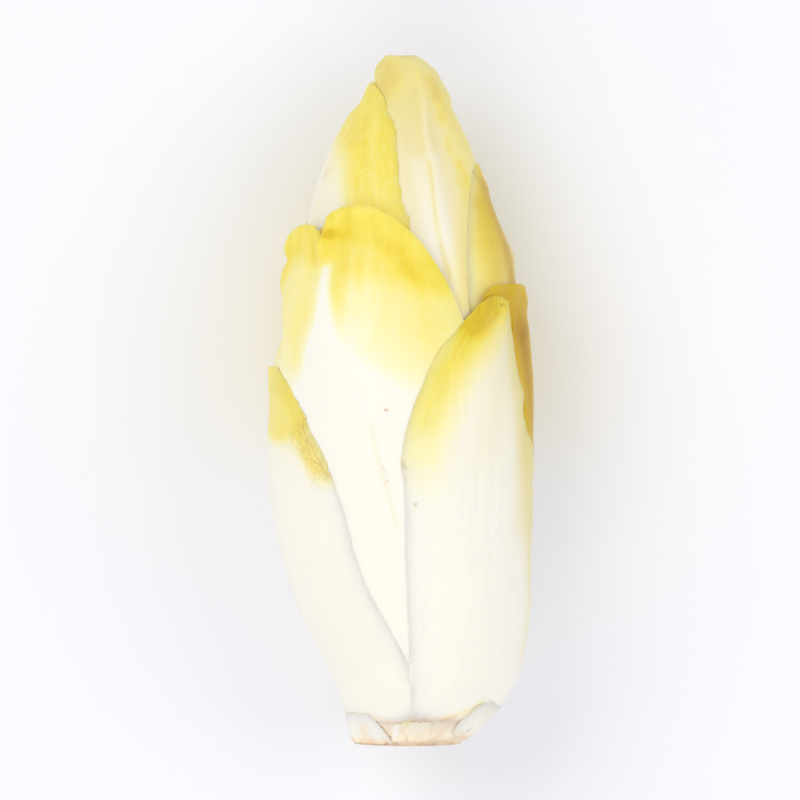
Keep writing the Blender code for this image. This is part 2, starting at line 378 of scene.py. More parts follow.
@dataclass(frozen=True)
class Blush:
    """Yellow that runs in from a margin, where light reached the leaf as it grew."""

    margin: Margin
    amount: float
    depth: float  # mm in from the margin at which half of it is gone
    fade: Points = ((0.0, 1.0), (200.0, 1.0))  # (height, share of the amount)
    softness: float = 0.5  # share of the depth over which it fades

    def strength(self, leaf: Surface) -> np.ndarray:
        """The yellow at each point of a leaf.

        Args:
            leaf: the laid leaf.

        Returns:
            Its strength.
        """
        near, far = self.depth * (1.0 - self.softness), self.depth * (1.0 + self.softness)
        reach = 1.0 - soft_step(leaf.distance[self.margin.value], near, far)
        return self.amount * reach * smooth_curve(self.fade, leaf.height)


@dataclass(frozen=True)
class Lip:
    """How a leaf's top edge curls: out at the rim, with a shallow valley below it."""

    rise: float = 0.0
    width: float = 1.0
    valley: float = 0.0
    valley_at: float = 5.0
    span: Points = ((-1.0, 1.0), (1.0, 1.0))  # (across, share of the curl)

    def curl(self, leaf: Surface) -> np.ndarray:
        """How far the curl stands out.

        Args:
            leaf: the laid leaf.

        Returns:
            The height of the curl in mm at each point.
        """
        from_top = leaf.distance[TOP.value]
        rim = self.rise * bump_at(from_top, self.width)
        valley = self.valley * bump_at(from_top - self.valley_at, 0.55 * self.valley_at)
        return smooth_curve(self.span, leaf.across)[:, None] * (rim - valley)


class Wrap:
    """Keeps the leaves apart: how far out there is still room at every turn and height."""

    TURN_STEP = 0.5
    HEIGHT_STEP = 0.35
    GAP = 0.035  # mm left free between two leaves
    REACH = 0.9  # mm over which a leaf softly takes the shape of the leaf on it
    SLACK = 0.15  # mm by which it bulges out again at that leaf's edge

    def __init__(self, form: HeadForm) -> None:
        """Starts with all the room free.

        Args:
            form: the size and shape of the head.
        """
        self.form = form
        turns = np.arange(-180.0, 180.0, self.TURN_STEP)
        heights = np.arange(0.0, form.length + 3.0, self.HEIGHT_STEP)
        self.turns, self.heights = np.meshgrid(turns, heights, indexing="ij")
        self.room = np.full(self.turns.shape, 1e3)

    def read(self, grid: np.ndarray, turn: np.ndarray, height: np.ndarray) -> np.ndarray:
        """Reads a grid between its points.

        Args:
            grid: a value for every turn and height of the wrap.
            turn: turns of the places to read.
            height: heights of the places.

        Returns:
            The value at each place.
        """
        across = (turn + 180.0) / self.TURN_STEP
        along = np.clip(height / self.HEIGHT_STEP, 0.0, grid.shape[1] - 1.001)
        i, j = np.floor(across).astype(int), np.floor(along).astype(int)
        s, t = across - i, along - j
        n = grid.shape[0]
        low = grid[i % n, j] * (1.0 - s) + grid[(i + 1) % n, j] * s
        high = grid[i % n, j + 1] * (1.0 - s) + grid[(i + 1) % n, j + 1] * s
        return low * (1.0 - t) + high * t

    def _averaged(self, grid: np.ndarray, turns: int, heights: int) -> np.ndarray:
        """The grid averaged over a cross-shaped window.

        Args:
            grid: the values to smooth.
            turns: grid steps that the window reaches to either side.
            heights: grid steps that it reaches up and down.

        Returns:
            The smoothed grid.
        """
        padded = np.pad(grid, ((0, 0), (heights, heights)), mode="edge")
        moved = [np.roll(grid, k, axis=0) for k in range(-turns, turns + 1)]
        moved += [padded[:, k : k + grid.shape[1]] for k in range(2 * heights + 1)]
        return np.array(moved).mean(0)

    def pressed(self, hull: Hull) -> np.ndarray:
        """What the next leaf gives up to the leaves on it.

        Args:
            hull: the body that it follows.

        Returns:
            The share of the hull's radius, smoothed, at every turn and height.
        """
        target = self.form.radius(hull, self.turns, self.heights)
        share = np.clip(1.0 - (self.room - self.GAP) / target, 0.0, 0.93)
        passes = 4
        step = self.REACH / passes
        turn_cells = round(step / (0.75 * self.form.half_width * DEGREE * self.TURN_STEP))
        for _ in range(passes):
            share = self._averaged(share, turn_cells, round(step / self.HEIGHT_STEP))
        return np.maximum(share - self.SLACK / target, 0.0)

    def claim(self, leaf: Surface) -> None:
        """Takes up the room of a laid leaf.

        Args:
            leaf: the leaf; under it, the room ends at its inner face.
        """
        outline = leaf.outline
        left = smooth_curve(outline.left, self.heights)
        right = smooth_curve(outline.right, self.heights)
        away = (self.turns - (left + right) / 2.0 + 180.0) % 360.0 - 180.0
        across = 2.0 * away / (right - left)
        inside = np.abs(across) <= 1.0 + 1.1 * self.TURN_STEP / (right - left)
        across = np.clip(across, -1.0, 1.0)
        top = np.interp(across, leaf.across, leaf.height[:, -1])
        foot = np.interp(across, leaf.across, leaf.height[:, 0])
        along = (self.heights - foot) / (top - foot)
        inside &= np.abs(along - 0.5) <= 0.5 + 0.6 * self.HEIGHT_STEP / (top - foot)
        columns, rows = leaf.turn.shape
        i_full = np.interp(across, leaf.across, np.arange(columns))
        j_full = np.interp(along, leaf.along, np.arange(rows))
        i = np.minimum(i_full.astype(int), columns - 2)
        j = np.minimum(j_full.astype(int), rows - 2)
        s, t = i_full - i, j_full - j
        inner = leaf.inner
        near = inner[i, j] * (1.0 - s) + inner[i + 1, j] * s
        far = inner[i, j + 1] * (1.0 - s) + inner[i + 1, j + 1] * s
        radius = near * (1.0 - t) + far * t
        self.room = np.where(inside, np.minimum(self.room, radius), self.room)


def shell_mesh(name: str, outside: np.ndarray, inside: np.ndarray, layers: Layers) -> bpy.types.Mesh:
    """A closed thin shell between two grids of points, with a map and named values.

    Args:
        name: the mesh's name.
        outside: columns by rows of positions on the outer face.
        inside: the same on the inner face.
        layers: three values for each point of the grid, by name.

    Returns:
        The mesh.
    """
    columns, rows = outside.shape[:2]
    count = columns * rows
    index = np.arange(count).reshape(columns, rows)
    corners = [index[:-1, :-1], index[1:, :-1], index[1:, 1:], index[:-1, 1:]]
    outer_faces = np.stack(corners, axis=-1).reshape(-1, 4)
    inner_faces = outer_faces[:, ::-1] + count
    ring = np.concatenate([index[:-1, 0], index[-1, :-1], index[:0:-1, -1], index[0, :0:-1]])
    after = np.roll(ring, -1)
    rim_faces = np.stack([after, ring, ring + count, after + count], axis=-1)
    faces = np.concatenate([outer_faces, inner_faces, rim_faces])
    points = np.concatenate([outside.reshape(-1, 3), inside.reshape(-1, 3)])
    mesh = bpy.data.meshes.new(name)
    mesh.vertices.add(len(points))
    mesh.vertices.foreach_set("co", points.ravel())
    mesh.loops.add(faces.size)
    mesh.loops.foreach_set("vertex_index", faces.ravel())
    mesh.polygons.add(len(faces))
    mesh.polygons.foreach_set("loop_start", np.arange(len(faces)) * 4)
    mesh.update(calc_edges=True)
    u, v = np.meshgrid(np.linspace(0.01, 0.48, columns), np.linspace(0.01, 0.99, rows), indexing="ij")
    flat = np.stack([u, v], axis=-1).reshape(-1, 2)
    places = np.concatenate([flat, flat + (0.51, 0.0)])[faces.ravel()]
    rim_start = 2 * outer_faces.size
    places[rim_start:] = flat[faces.ravel()[rim_start:] % count]
    mesh.uv_layers.new(name="OFBake").uv.foreach_set("vector", places.ravel())
    for layer, values in layers.items():
        attribute = mesh.attributes.new(layer, "FLOAT_VECTOR", "POINT")
        attribute.data.foreach_set("vector", np.tile(values.reshape(-1, 3), (2, 1)).ravel())
    mesh.shade_smooth()
    mesh.set_sharp_from_angle(angle=math.radians(60.0))
    return mesh


def turned_mesh(name: str, rings: np.ndarray, layers: Layers) -> bpy.types.Mesh:
    """A closed body between rings of points, with a fan of faces at each end.

    Args:
        name: the mesh's name.
        rings: rings by columns of positions, from one end to the other.
        layers: three values for each point of the rings, by name.

    Returns:
        The mesh.
    """
    count, columns = rings.shape[:2]
    bottom, top = count * columns, count * columns + 1
    last = (count - 1) * columns
    faces: list[tuple[int, ...]] = []
    corners: list[tuple[float, float]] = []
    for k in range(columns):
        after = (k + 1) % columns
        left, right = k / columns, (k + 1) / columns
        middle = (left + right) / 2.0
        for i in range(count - 1):
            low, high = i * columns, (i + 1) * columns
            near, far = 0.02 + 0.96 * i / (count - 1), 0.02 + 0.96 * (i + 1) / (count - 1)
            faces.append((low + k, low + after, high + after, high + k))
            corners += [(left, near), (right, near), (right, far), (left, far)]
        faces += [(bottom, after, k), (top, last + k, last + after)]
        corners += [(middle, 0.005), (right, 0.02), (left, 0.02)]
        corners += [(middle, 0.995), (left, 0.98), (right, 0.98)]

    def with_ends(values: np.ndarray) -> np.ndarray:
        """The rings' values, followed by the means of the first and the last ring."""
        return np.concatenate([values.reshape(-1, 3), [values[0].mean(axis=0), values[-1].mean(axis=0)]])

    mesh = bpy.data.meshes.new(name)
    mesh.from_pydata(with_ends(rings).tolist(), [], faces)
    mesh.uv_layers.new(name="OFBake").uv.foreach_set("vector", np.ravel(corners))
    for layer, values in layers.items():
        attribute = mesh.attributes.new(layer, "FLOAT_VECTOR", "POINT")
        attribute.data.foreach_set("vector", with_ends(values).ravel())
    mesh.shade_smooth()
    return mesh


def show_piece(mesh: bpy.types.Mesh, node: str, slot: str, material: bpy.types.Material) -> bpy.types.Object:
    """Puts a mesh in the scene in place of a modelled node.

    Args:
        mesh: the finished mesh.
        node: the node that it stands for.
        slot: the material slot of the record; it is not used.
        material: its finish.

    Returns:
        The new object.
    """
    mesh.materials.append(material)
    piece = bpy.data.objects.new(mesh.name, mesh)
    bpy.context.scene.collection.objects.link(piece)
    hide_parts(node)
    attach(piece, "root")
    log.info("%s: %d faces", piece.name, len(mesh.polygons))
    return piece


@dataclass(frozen=True)
class Blade:
    """One leaf of the head, with its outline, its relief and where it is coloured."""

    node: str
    slot: str
    outline: Outline
    hull: Hull = Hull.OUTER
    rib: float = 2.0  # thickness of the midrib near the foot
    edge: float = 0.45  # thickness near the margins
    marks: tuple[Mark, ...] = ()
    blushes: tuple[Blush, ...] = ()
    lip: Lip = Lip()
    cream: float = 0.0
    cut: float = 0.0
    standoff: float = 0.0  # mm outside the hull
    torn: float = 0.0  # mm of roughness of a torn face
    heel: float = 0.05  # share of the thickness that is left at the foot edge
    net: float = 0.0  # how clearly the net of side veins shows
    crinkle: float = 0.22  # mm of ripple near the margins
    ragged: float = 0.12  # mm of unevenness of the margins
    cells: tuple[int, int] = (110, 150)
    seed: int = 1

    SWAY = 0.13  # mm of slow unevenness away from the margins
    FEATHER = 1.8  # mm over which the leaf thins out to its margins
    SIDE_THINNING = 9.0
    ROW_CROWDING = 1.25

    def lay(self, wrap: Wrap) -> Surface:
        """Lays the leaf on the head, inside the leaves that are there already.

        Args:
            wrap: what room is left.

        Returns:
            The leaf's surface.
        """
        low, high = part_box(self.node)
        form = wrap.form
        outline = self.outline.moved_to(low.y / MM - form.foot_y, high.y / MM - form.foot_y)
        columns, rows = self.cells
        even = np.linspace(-1.0, 1.0, columns)
        across = even * (1.12 - 0.12 * even**2)
        along = 1.0 - np.linspace(1.0, 0.0, rows) ** self.ROW_CROWDING
        ripple = self.seed * 7
        coarse, fine, lower = Ripple(ripple + 1, 5.0), Ripple(ripple + 2, 2.0), Ripple(ripple + 3, 3.0)
        rough = coarse.at(across * 40.0, 0.0) + 0.5 * fine.at(across * 40.0, 0.0)
        top = smooth_curve(outline.top, across) + self.ragged * 0.6 * rough
        foot = smooth_curve(outline.foot, across) + 0.14 * lower.at(across * 30.0, 0.0)
        height = foot[:, None] + (top - foot)[:, None] * along
        turn = self._turns(outline, across, height, form)
        radius = form.radius(self.hull, turn, height)
        distance = self._margin_distances(turn, height, radius)
        smooth = radius * (1.0 - wrap.read(wrap.pressed(self.hull), turn, height)) + self.standoff
        leaf = Surface(outline, across, along, turn, height, radius, distance, smooth, smooth)
        room = wrap.read(wrap.room, turn, height) - wrap.GAP * 0.6
        leaf.outer = np.minimum(smooth + self._relief(leaf), room)
        leaf.inner = np.maximum(leaf.outer - self._thickness(leaf), 0.3)
        return leaf

    def _turns(self, outline: Outline, across: np.ndarray, height: np.ndarray, form: HeadForm) -> np.ndarray:
        """Turns of all points between the two sides, which are slightly ragged too.

        Args:
            outline: the leaf's edge.
            across: places across the leaf, from -1 to 1.
            height: heights of its points.
            form: the head.

        Returns:
            The turn of every point.
        """
        scale = self.ragged / (DEGREE * form.radius(self.hull, 90.0, height))
        left, right = (
            smooth_curve(side, height) + scale * 0.5 * Ripple(self.seed * 7 + k, 6.0).at(0.0, height)
            for side, k in ((outline.left, 4), (outline.right, 5))
        )
        return left + (right - left) * (across[:, None] + 1.0) / 2.0

    def _margin_distances(self, turn: np.ndarray, height: np.ndarray, radius: np.ndarray) -> np.ndarray:
        """Measures how far each point lies from the margins.

        Args:
            turn: turns of the points.
            height: their heights.
            radius: radii there, which turn degrees into millimetres.

        Returns:
            Distances in mm from the left, top and right margins.
        """
        scale = DEGREE * radius
        nearest = []
        for line in (np.s_[0, ::2], np.s_[::2, -1], np.s_[-1, ::2]):
            closest = np.full(turn.shape, np.inf)
            for t, h in zip(turn[line], height[line]):
                closest = np.minimum(closest, ((turn - t) * scale) ** 2 + (height - h) ** 2)
            nearest.append(np.sqrt(closest))
        return np.array(nearest)

    def _relief(self, leaf: Surface) -> np.ndarray:
        """How far each point stands out from the smooth body of the head.

        Args:
            leaf: the leaf, laid smoothly.

        Returns:
            The relief in mm.
        """
        place = (np.radians(leaf.turn) * leaf.radius, leaf.height)
        ripple = self.seed * 11
        relief = self.SWAY * Ripple(ripple + 1, 22.0, 2.2).at(*place) * soft_step(leaf.from_edge, 0.0, 8.0)
        relief += self.crinkle * bump_at(leaf.from_edge, 5.0) * Ripple(ripple + 2, 7.0, 1.2).at(*place)
        relief += 0.03 * Ripple(ripple + 3, 2.6, 6.0).at(*place)
        relief += self.torn * Ripple(ripple + 4, 2.2).at(*place)
        relief += 0.5 * self.torn * Ripple(ripple + 5, 0.9).at(*place)
        return relief + self.lip.curl(leaf) + self._marked(RAISE, leaf)

    def _thickness(self, leaf: Surface) -> np.ndarray:
        """The leaf is fleshy at the rib and foot, and thins out to its margins.

        Args:
            leaf: the laid leaf.

        Returns:
            The thickness in mm at each point.
        """
        heel = self.heel + (1.0 - self.heel) * np.clip(leaf.above_foot / 3.0, 0.0, 1.0) ** 2
        flesh = 1.0 - bump_at(leaf.from_edge, self.SIDE_THINNING)
        body = self.edge + (self.rib - self.edge) * flesh * (1.0 - 0.7 * leaf.along**1.4)
        return heel * body * (0.08 + 0.92 * np.clip(leaf.from_edge / self.FEATHER, 0.0, 1.0))

    def _marked(self, effect: Effect, leaf: Surface) -> np.ndarray:
        """The total of the marks of one effect, at each point of the laid leaf."""
        chosen = [mark.strength(leaf) for mark in self.marks if mark.effect is effect]
        return sum(chosen, np.zeros(leaf.turn.shape))

    def _tints(self, leaf: Surface) -> Layers:
        """Works out the leaf's colouring.

        Args:
            leaf: the laid leaf.

        Returns:
            The layers 'tints' (yellow, ochre, cream) and 'wear' (browning, cut foot, vein net).
        """
        pale = np.ones(leaf.turn.shape)
        for blush in self.blushes:
            pale = pale * (1.0 - blush.strength(leaf))
        base = {
            YELLOW: 1.0 - pale,
            OCHRE: 0.0,
            CREAM: self.cream,
            BROWN: 0.0,
            DEEP_OCHRE_AND_SHADE: 0.0,
            CUT: self.cut + bump_at(leaf.above_foot, 0.8),
        }
        total = {effect: start + self._marked(effect, leaf) for effect, start in base.items()}
        tints = np.clip(np.stack([total[YELLOW], total[OCHRE], total[CREAM]], axis=-1), 0.0, 1.0)
        tints[..., 1] *= 1.0 + np.clip(total[DEEP_OCHRE_AND_SHADE], 0.0, 1.0)
        net = self.net * soft_step(total[YELLOW], 0.1, 0.5)
        return {"tints": tints, "wear_and_shade": np.clip(np.stack([total[BROWN], total[CUT], net], axis=-1), 0.0, 1.0)}

    def build(self, wrap: Wrap, material: bpy.types.Material) -> bpy.types.Object:
        """Lays the leaf, makes its mesh and puts it in the scene.

        Args:
            wrap: what room is left; this leaf's room is taken from it.
            material: the leaf finish.

        Returns:
            The leaf.
        """
        leaf = self.lay(wrap)
        wrap.claim(leaf)
        half_belly = DEGREE * wrap.form.half_width * 45.0
        flat = np.broadcast_to(leaf.across[:, None] * half_belly, leaf.turn.shape)
        vein = np.stack([flat, leaf.height, np.full(flat.shape, self.seed * 13.7)], axis=-1)
        outside, inside = (wrap.form.place(leaf.turn, leaf.height, face) for face in (leaf.outer, leaf.inner))
        mesh = shell_mesh(f"{self.node}_blade", outside, inside, {"vein": vein} | self._tints(leaf))
        return show_piece(mesh, self.node, self.slot, material)


def linear(hex_colour: str) -> tuple[float, float, float, float]:
    """A linear colour from an sRGB hex value such as 'fff6e0'."""
    values = [int(hex_colour[i : i + 2], 16) / 255.0 for i in (0, 2, 4)]
    red, green, blue = (v / 12.92 if v <= 0.04045 else ((v + 0.055) / 1.055) ** 2.4 for v in values)
    return red, green, blue, 1.0


def add_node(tree: bpy.types.NodeTree, kind: str, inputs: dict[Any, Any], **settings: Any) -> Any:
    """Adds a node with its settings and links.

    Args:
        tree: the node tree.
        kind: the node's type after 'ShaderNode', such as 'Math'.
        inputs: by input name or number, a value or the output socket to link.
        settings: attributes of the node.

    Returns:
        The node's outputs.
    """
    node = tree.nodes.new(f"ShaderNode{kind}")
    for name, value in settings.items():
        setattr(node, name, value)
    for name, value in inputs.items():
        if isinstance(value, bpy.types.NodeSocket):
            tree.links.new(value, node.inputs[name])
        else:
            node.inputs[name].default_value = value
    return node.outputs


def with_stops(ramp: Any, stops: Stops) -> Any:
    """Sets a colour ramp's stops.

    Args:
        ramp: the outputs of the ramp's node.
        stops: (position, sRGB hex) pairs.

    Returns:
        The colour's output socket.
    """
    elements = ramp[0].node.color_ramp.elements
    while len(elements) < len(stops):
        elements.new(0.5)
    for element, (position, colour) in zip(elements, stops):
        element.position = position
        element.color = linear(colour)
    return ramp[0]


def laid_over(tree: bpy.types.NodeTree, colour: Any, *layers: tuple[Any, Any]) -> Any:
    """Lays colours over one another.

    Args:
        tree: the node tree.
        colour: the lowest colour.
        layers: pairs of a share from 0 to 1 and the colour that covers so much.

    Returns:
        The colour's output socket.
    """
    for share, layer in layers:
        colour = add_node(tree, "Mix", {0: share, 6: colour, 7: layer}, data_type="RGBA")[2]
    return colour


def new_material(name: str, preview: str) -> bpy.types.Material:
    """Starts a material.

    Args:
        name: its name.
        preview: the sRGB hex colour that stands for it outside a render.

    Returns:
        The material, with an empty node tree.
    """
    material = bpy.data.materials.new(name)
    material.use_nodes = True
    material.node_tree.nodes.clear()
    material.diffuse_color = linear(preview)
    return material


@dataclass(frozen=True)
class LeafFinish:
    """Blanched chicory leaf, grown in the dark: crisp, waxy and slightly translucent.

    The body is near white with fine lengthwise veins. The margins that saw light are yellow,
    mottled between a net of paler side veins, and some are dried brown. Deeper ochre, cream and brown are also
    laid on as painted shade where a side turns from the light or in a crease.
    """

    name: str = "blanched_leaf"
    tint_ramp: Stops = (
        (0.0, "faf6eb"), (0.22, "fbf4c8"), (0.48, "faec96"), (0.72, "f8e365"),
        (0.88, "efd544"), (1.0, "e3c32e"),
    )
    # the dark end of the ochre, reached where it is deepened, also serves as painted shade
    ochre: Stops = ((0.08, "d6b228"), (1.1, "a87400"))
    cut: Stops = ((0.35, "f8d3b0"), (0.6, "ffeed2"))
    net_lines: str = "fbf2b4"
    # cream tone of thin flesh, also laid on as painted shade in a crease and on sides turned from the light
    cream: str = "ebdd98"
    # brown of dried tissue, also laid on as painted shade on a side turned from the light
    brown: str = "b98246"
    roughness: float = 0.42
    vein_spacing: float = 1.1  # mm between lengthwise veins
    net_cell: tuple[float, float] = (1.7, 3.4)  # mm across and along of a cell of the vein net

    def build(self) -> bpy.types.Material:
        """Makes the material.

        Returns:
            The material, which reads the layers 'vein', 'tints' and 'wear'.
        """
        material = new_material(self.name, "f8f2d8")
        tree = material.node_tree
        vein, tints, wear_and_shade = (
            add_node(tree, "Attribute", {}, attribute_name=layer)["Vector"]
            for layer in ("vein", "tints", "wear_and_shade")
        )
        yellow, ochre, cream = add_node(tree, "SeparateXYZ", {0: tints})
        brown, cut, netted = add_node(tree, "SeparateXYZ", {0: wear_and_shade})
        streaks = self._streaks(tree, vein, self.vein_spacing * 1.6, 16.0)
        net = self._net(tree, vein)
        broad = {"Vector": vein, "Scale": 0.22, "Detail": 3.0, "Roughness": 0.55}
        mottle = add_node(tree, "TexNoise", broad)["Fac"]
        tinted = self._uneven(tree, yellow, streaks, mottle)
        lines = add_node(tree, "Math", {0: net, 1: netted}, operation="MULTIPLY")[0]
        # ochre past full strength turns browner: the leaf's own colour, plus painted shade on sides turned
        # from the light
        aged = add_node(tree, "Math", {0: ochre, 1: -1.0}, operation="ADD", use_clamp=True)[0]
        aged = add_node(tree, "Math", {0: streaks, 1: 0.16, 2: aged}, operation="MULTIPLY_ADD")[0]
        ochre = add_node(tree, "Math", {0: ochre, 1: 0.0}, operation="ADD", use_clamp=True)[0]
        colour = laid_over(
            tree,
            with_stops(add_node(tree, "ValToRGB", {0: tinted}), self.tint_ramp),
            (lines, linear(self.net_lines)),
            (ochre, with_stops(add_node(tree, "ValToRGB", {0: aged}), self.ochre)),
            (cream, linear(self.cream)),
            (self._browning_and_shade(tree, brown, net, mottle), linear(self.brown)),
            (cut, with_stops(add_node(tree, "ValToRGB", {0: mottle}), self.cut)),
        )
        dull, glossy = self.roughness + 0.07, self.roughness - 0.05
        shine = add_node(tree, "MapRange", {"Value": streaks, "To Min": glossy, "To Max": dull})[0]
        skin = {
            "Base Color": colour,
            "Roughness": shine,
            "IOR": 1.4,
            "Normal": self._bump(tree, vein, lines),
            "Subsurface Weight": 0.35,
            "Subsurface Radius": (1.0, 0.9, 0.7),
            "Subsurface Scale": 0.001,
            "Specular IOR Level": 0.22,
            "Coat Weight": 0.06,
            "Coat Roughness": 0.22,
        }
        add_node(tree, "OutputMaterial", {"Surface": add_node(tree, "BsdfPrincipled", skin)[0]})
        return material

    def _streaks(self, tree: bpy.types.NodeTree, vein: Any, across: float, along: float) -> Any:
        """Noise drawn out along the veins.

        Args:
            tree: the node tree.
            vein: mm across and along the leaf.
            across: mm of its grain across the leaf.
            along: mm of its grain along the leaf.

        Returns:
            The noise's output socket.
        """
        grain = (1.0 / across, 1.0 / along, 1.0)
        scaled = add_node(tree, "VectorMath", {0: vein, 1: grain}, operation="MULTIPLY")[0]
        noise = {"Vector": scaled, "Scale": 1.0, "Detail": 3.0, "Roughness": 0.6}
        return add_node(tree, "TexNoise", noise)["Fac"]

    def _net(self, tree: bpy.types.NodeTree, vein: Any) -> Any:
        """Lines of the net of side veins.

        Args:
            tree: the node tree.
            vein: mm across and along the leaf.

        Returns:
            An output socket, 1 on a vein and 0 between.
        """
        bend = add_node(tree, "TexNoise", {"Vector": vein, "Scale": 0.35, "Detail": 2.0})["Color"]
        moved = {0: bend, 1: (2.4, 3.2, 0.0), 2: vein}
        bent = add_node(tree, "VectorMath", moved, operation="MULTIPLY_ADD")[0]
        cell = (1.0 / self.net_cell[0], 1.0 / self.net_cell[1], 1.0)
        scaled = add_node(tree, "VectorMath", {0: bent, 1: cell}, operation="MULTIPLY")[0]
        edges = add_node(tree, "TexVoronoi", {"Vector": scaled, "Scale": 1.0}, feature="DISTANCE_TO_EDGE")[0]
        line = {"Value": edges, "From Max": 0.14, "To Min": 1.0, "To Max": 0.0}
        return add_node(tree, "MapRange", line, interpolation_type="SMOOTHSTEP")[0]

    def _uneven(self, tree: bpy.types.NodeTree, yellow: Any, streaks: Any, mottle: Any) -> Any:
        """The yellow, made uneven where there is any.

        Args:
            tree: the node tree.
            yellow: its even strength.
            streaks: lengthwise noise.
            mottle: broad noise.

        Returns:
            The strength's output socket.
        """
        sway = add_node(tree, "Math", {0: streaks, 1: mottle}, operation="ADD")[0]
        sway = add_node(tree, "Math", {0: sway, 1: -1.0}, operation="ADD")[0]
        limit = add_node(tree, "Math", {0: yellow, 1: 0.6}, operation="POWER")[0]
        sway = add_node(tree, "Math", {0: sway, 1: limit}, operation="MULTIPLY")[0]
        swayed = {0: sway, 1: 0.3, 2: yellow}
        return add_node(tree, "Math", swayed, operation="MULTIPLY_ADD", use_clamp=True)[0]

    def _browning_and_shade(self, tree: bpy.types.NodeTree, brown: Any, net: Any, mottle: Any) -> Any:
        """Dried tissue, which follows the vein net first and then spreads between the veins; the same brown
        also paints shade where a mark puts it on a side turned from the light.

        Args:
            tree: the node tree.
            brown: how dry the leaf is, together with any painted shade.
            net: the lines of the vein net.
            mottle: broad noise.

        Returns:
            The browning's output socket.
        """
        patches = {"Value": mottle, "From Min": 0.5, "From Max": 0.75, "To Min": 0.1}
        spread = add_node(tree, "MapRange", patches)[0]
        most = add_node(tree, "Math", {0: net, 1: spread}, operation="MAXIMUM")[0]
        return add_node(tree, "Math", {0: most, 1: brown}, operation="MULTIPLY", use_clamp=True)[0]

    def _bump(self, tree: bpy.types.NodeTree, vein: Any, lines: Any) -> Any:
        """Fine lengthwise veins and a moist skin's grain everywhere, and the raised net where it shows.

        Args:
            tree: the node tree.
            vein: mm across and along the leaf.
            lines: the visible lines of the vein net.

        Returns:
            The normal's output socket.
        """
        fine = self._streaks(tree, vein, self.vein_spacing * 0.55, 7.0)
        grain = self._streaks(tree, vein, 0.45, 0.6)
        total = add_node(tree, "Math", {0: lines, 1: 1.0, 2: fine}, operation="MULTIPLY_ADD")[0]
        total = add_node(tree, "Math", {0: grain, 1: 0.5, 2: total}, operation="MULTIPLY_ADD")[0]
        return add_node(tree, "Bump", {"Height": total, "Strength": 0.35, "Distance": 0.00025})[0]


@dataclass(frozen=True)
class CutFinish:
    """Freshly cut chicory stem: moist cream pith, a ring of pale bundles and a browned rind."""

    name: str = "cut_stem"
    pith: Stops = ((0.30, "ecd0a8"), (0.48, "f6e5c6"), (0.66, "fbf2de"))
    bundle: str = "d9a86c"
    rind: str = "cfa277"
    side: str = "f6e6cb"
    roughness: float = 0.5
    bundle_size: float = 1.15  # mm between bundles

    def build(self) -> bpy.types.Material:
        """Makes the material.

        Returns:
            The material, which reads the layers 'place' (mm) and 'zones' (bundles, rind, side).
        """
        material = new_material(self.name, "f3ddba")
        tree = material.node_tree
        place = add_node(tree, "Attribute", {}, attribute_name="place")["Vector"]
        zones = add_node(tree, "Attribute", {}, attribute_name="zones")["Vector"]
        ring, rind, side = add_node(tree, "SeparateXYZ", {0: zones})
        broad = {"Vector": place, "Scale": 0.35, "Detail": 4.0, "Roughness": 0.6}
        mottle = add_node(tree, "TexNoise", broad)["Fac"]
        bundles = add_node(tree, "TexVoronoi", {"Vector": place, "Scale": 1.0 / self.bundle_size})["Distance"]
        dot = {"Value": bundles, "From Min": 0.18, "From Max": 0.42, "To Min": 0.75, "To Max": 0.0}
        dots = add_node(tree, "MapRange", dot, interpolation_type="SMOOTHSTEP")[0]
        dots = add_node(tree, "Math", {0: dots, 1: ring}, operation="MULTIPLY")[0]
        patch = {"Value": mottle, "From Min": 0.35, "From Max": 0.6, "To Min": 1.0, "To Max": 0.35}
        patches = add_node(tree, "MapRange", patch)[0]
        dried = add_node(tree, "Math", {0: patches, 1: rind}, operation="MULTIPLY")[0]
        colour = laid_over(
            tree,
            with_stops(add_node(tree, "ValToRGB", {0: mottle}), self.pith),
            (dots, linear(self.bundle)),
            (side, linear(self.side)),
            (dried, linear(self.rind)),
        )
        fine = {"Vector": place, "Scale": 1.6, "Detail": 3.0, "Roughness": 0.6}
        grain = add_node(tree, "TexNoise", fine)["Fac"]
        flesh = {
            "Base Color": colour,
            "Roughness": self.roughness,
            "IOR": 1.4,
            "Normal": add_node(tree, "Bump", {"Height": grain, "Strength": 0.4, "Distance": 0.0003})[0],
            "Subsurface Weight": 0.3,
            "Subsurface Radius": (1.0, 0.7, 0.4),
            "Subsurface Scale": 0.002,
        }
        add_node(tree, "OutputMaterial", {"Surface": add_node(tree, "BsdfPrincipled", flesh)[0]})
        return material


@dataclass(frozen=True)
class TableFinish:
    """Matt white-painted board, rolled: pale grey with almost no grain."""

    name: str = "painted_board"
    colour: str = "f3f4fa"
    roughness: float = 0.75

    def build(self) -> bpy.types.Material:
        """Makes the material.

        Returns:
            The material.
        """
        material = new_material(self.name, self.colour)
        tree = material.node_tree
        paint = {"Base Color": linear(self.colour), "Roughness": self.roughness}
        add_node(tree, "OutputMaterial", {"Surface": add_node(tree, "BsdfPrincipled", paint)[0]})
        return material


# lines on the leaves that more than one mark follows, as turns and heights
SIDE_SEAM: Points = ((39, 88), (41, 94), (46, 100), (53, 106), (66, 112))
FLAP_TEAR: Points = ((31, 4.6), (36, 6.7), (45, 8.6))
FOOT_TEAR: Points = ((19, 5.3), (33, 6.5), (40, 7.4), (45, 8.6))
BELLY_CREASE: Points = ((-13, 62), (-7.6, 52), (-3, 43))
LEFT_VEIN: Points = ((-28, 122), (-20, 112), (-14, 104))
RIGHT_VEIN: Points = ((22, 113), (23, 104), (24.6, 97), (28, 90))


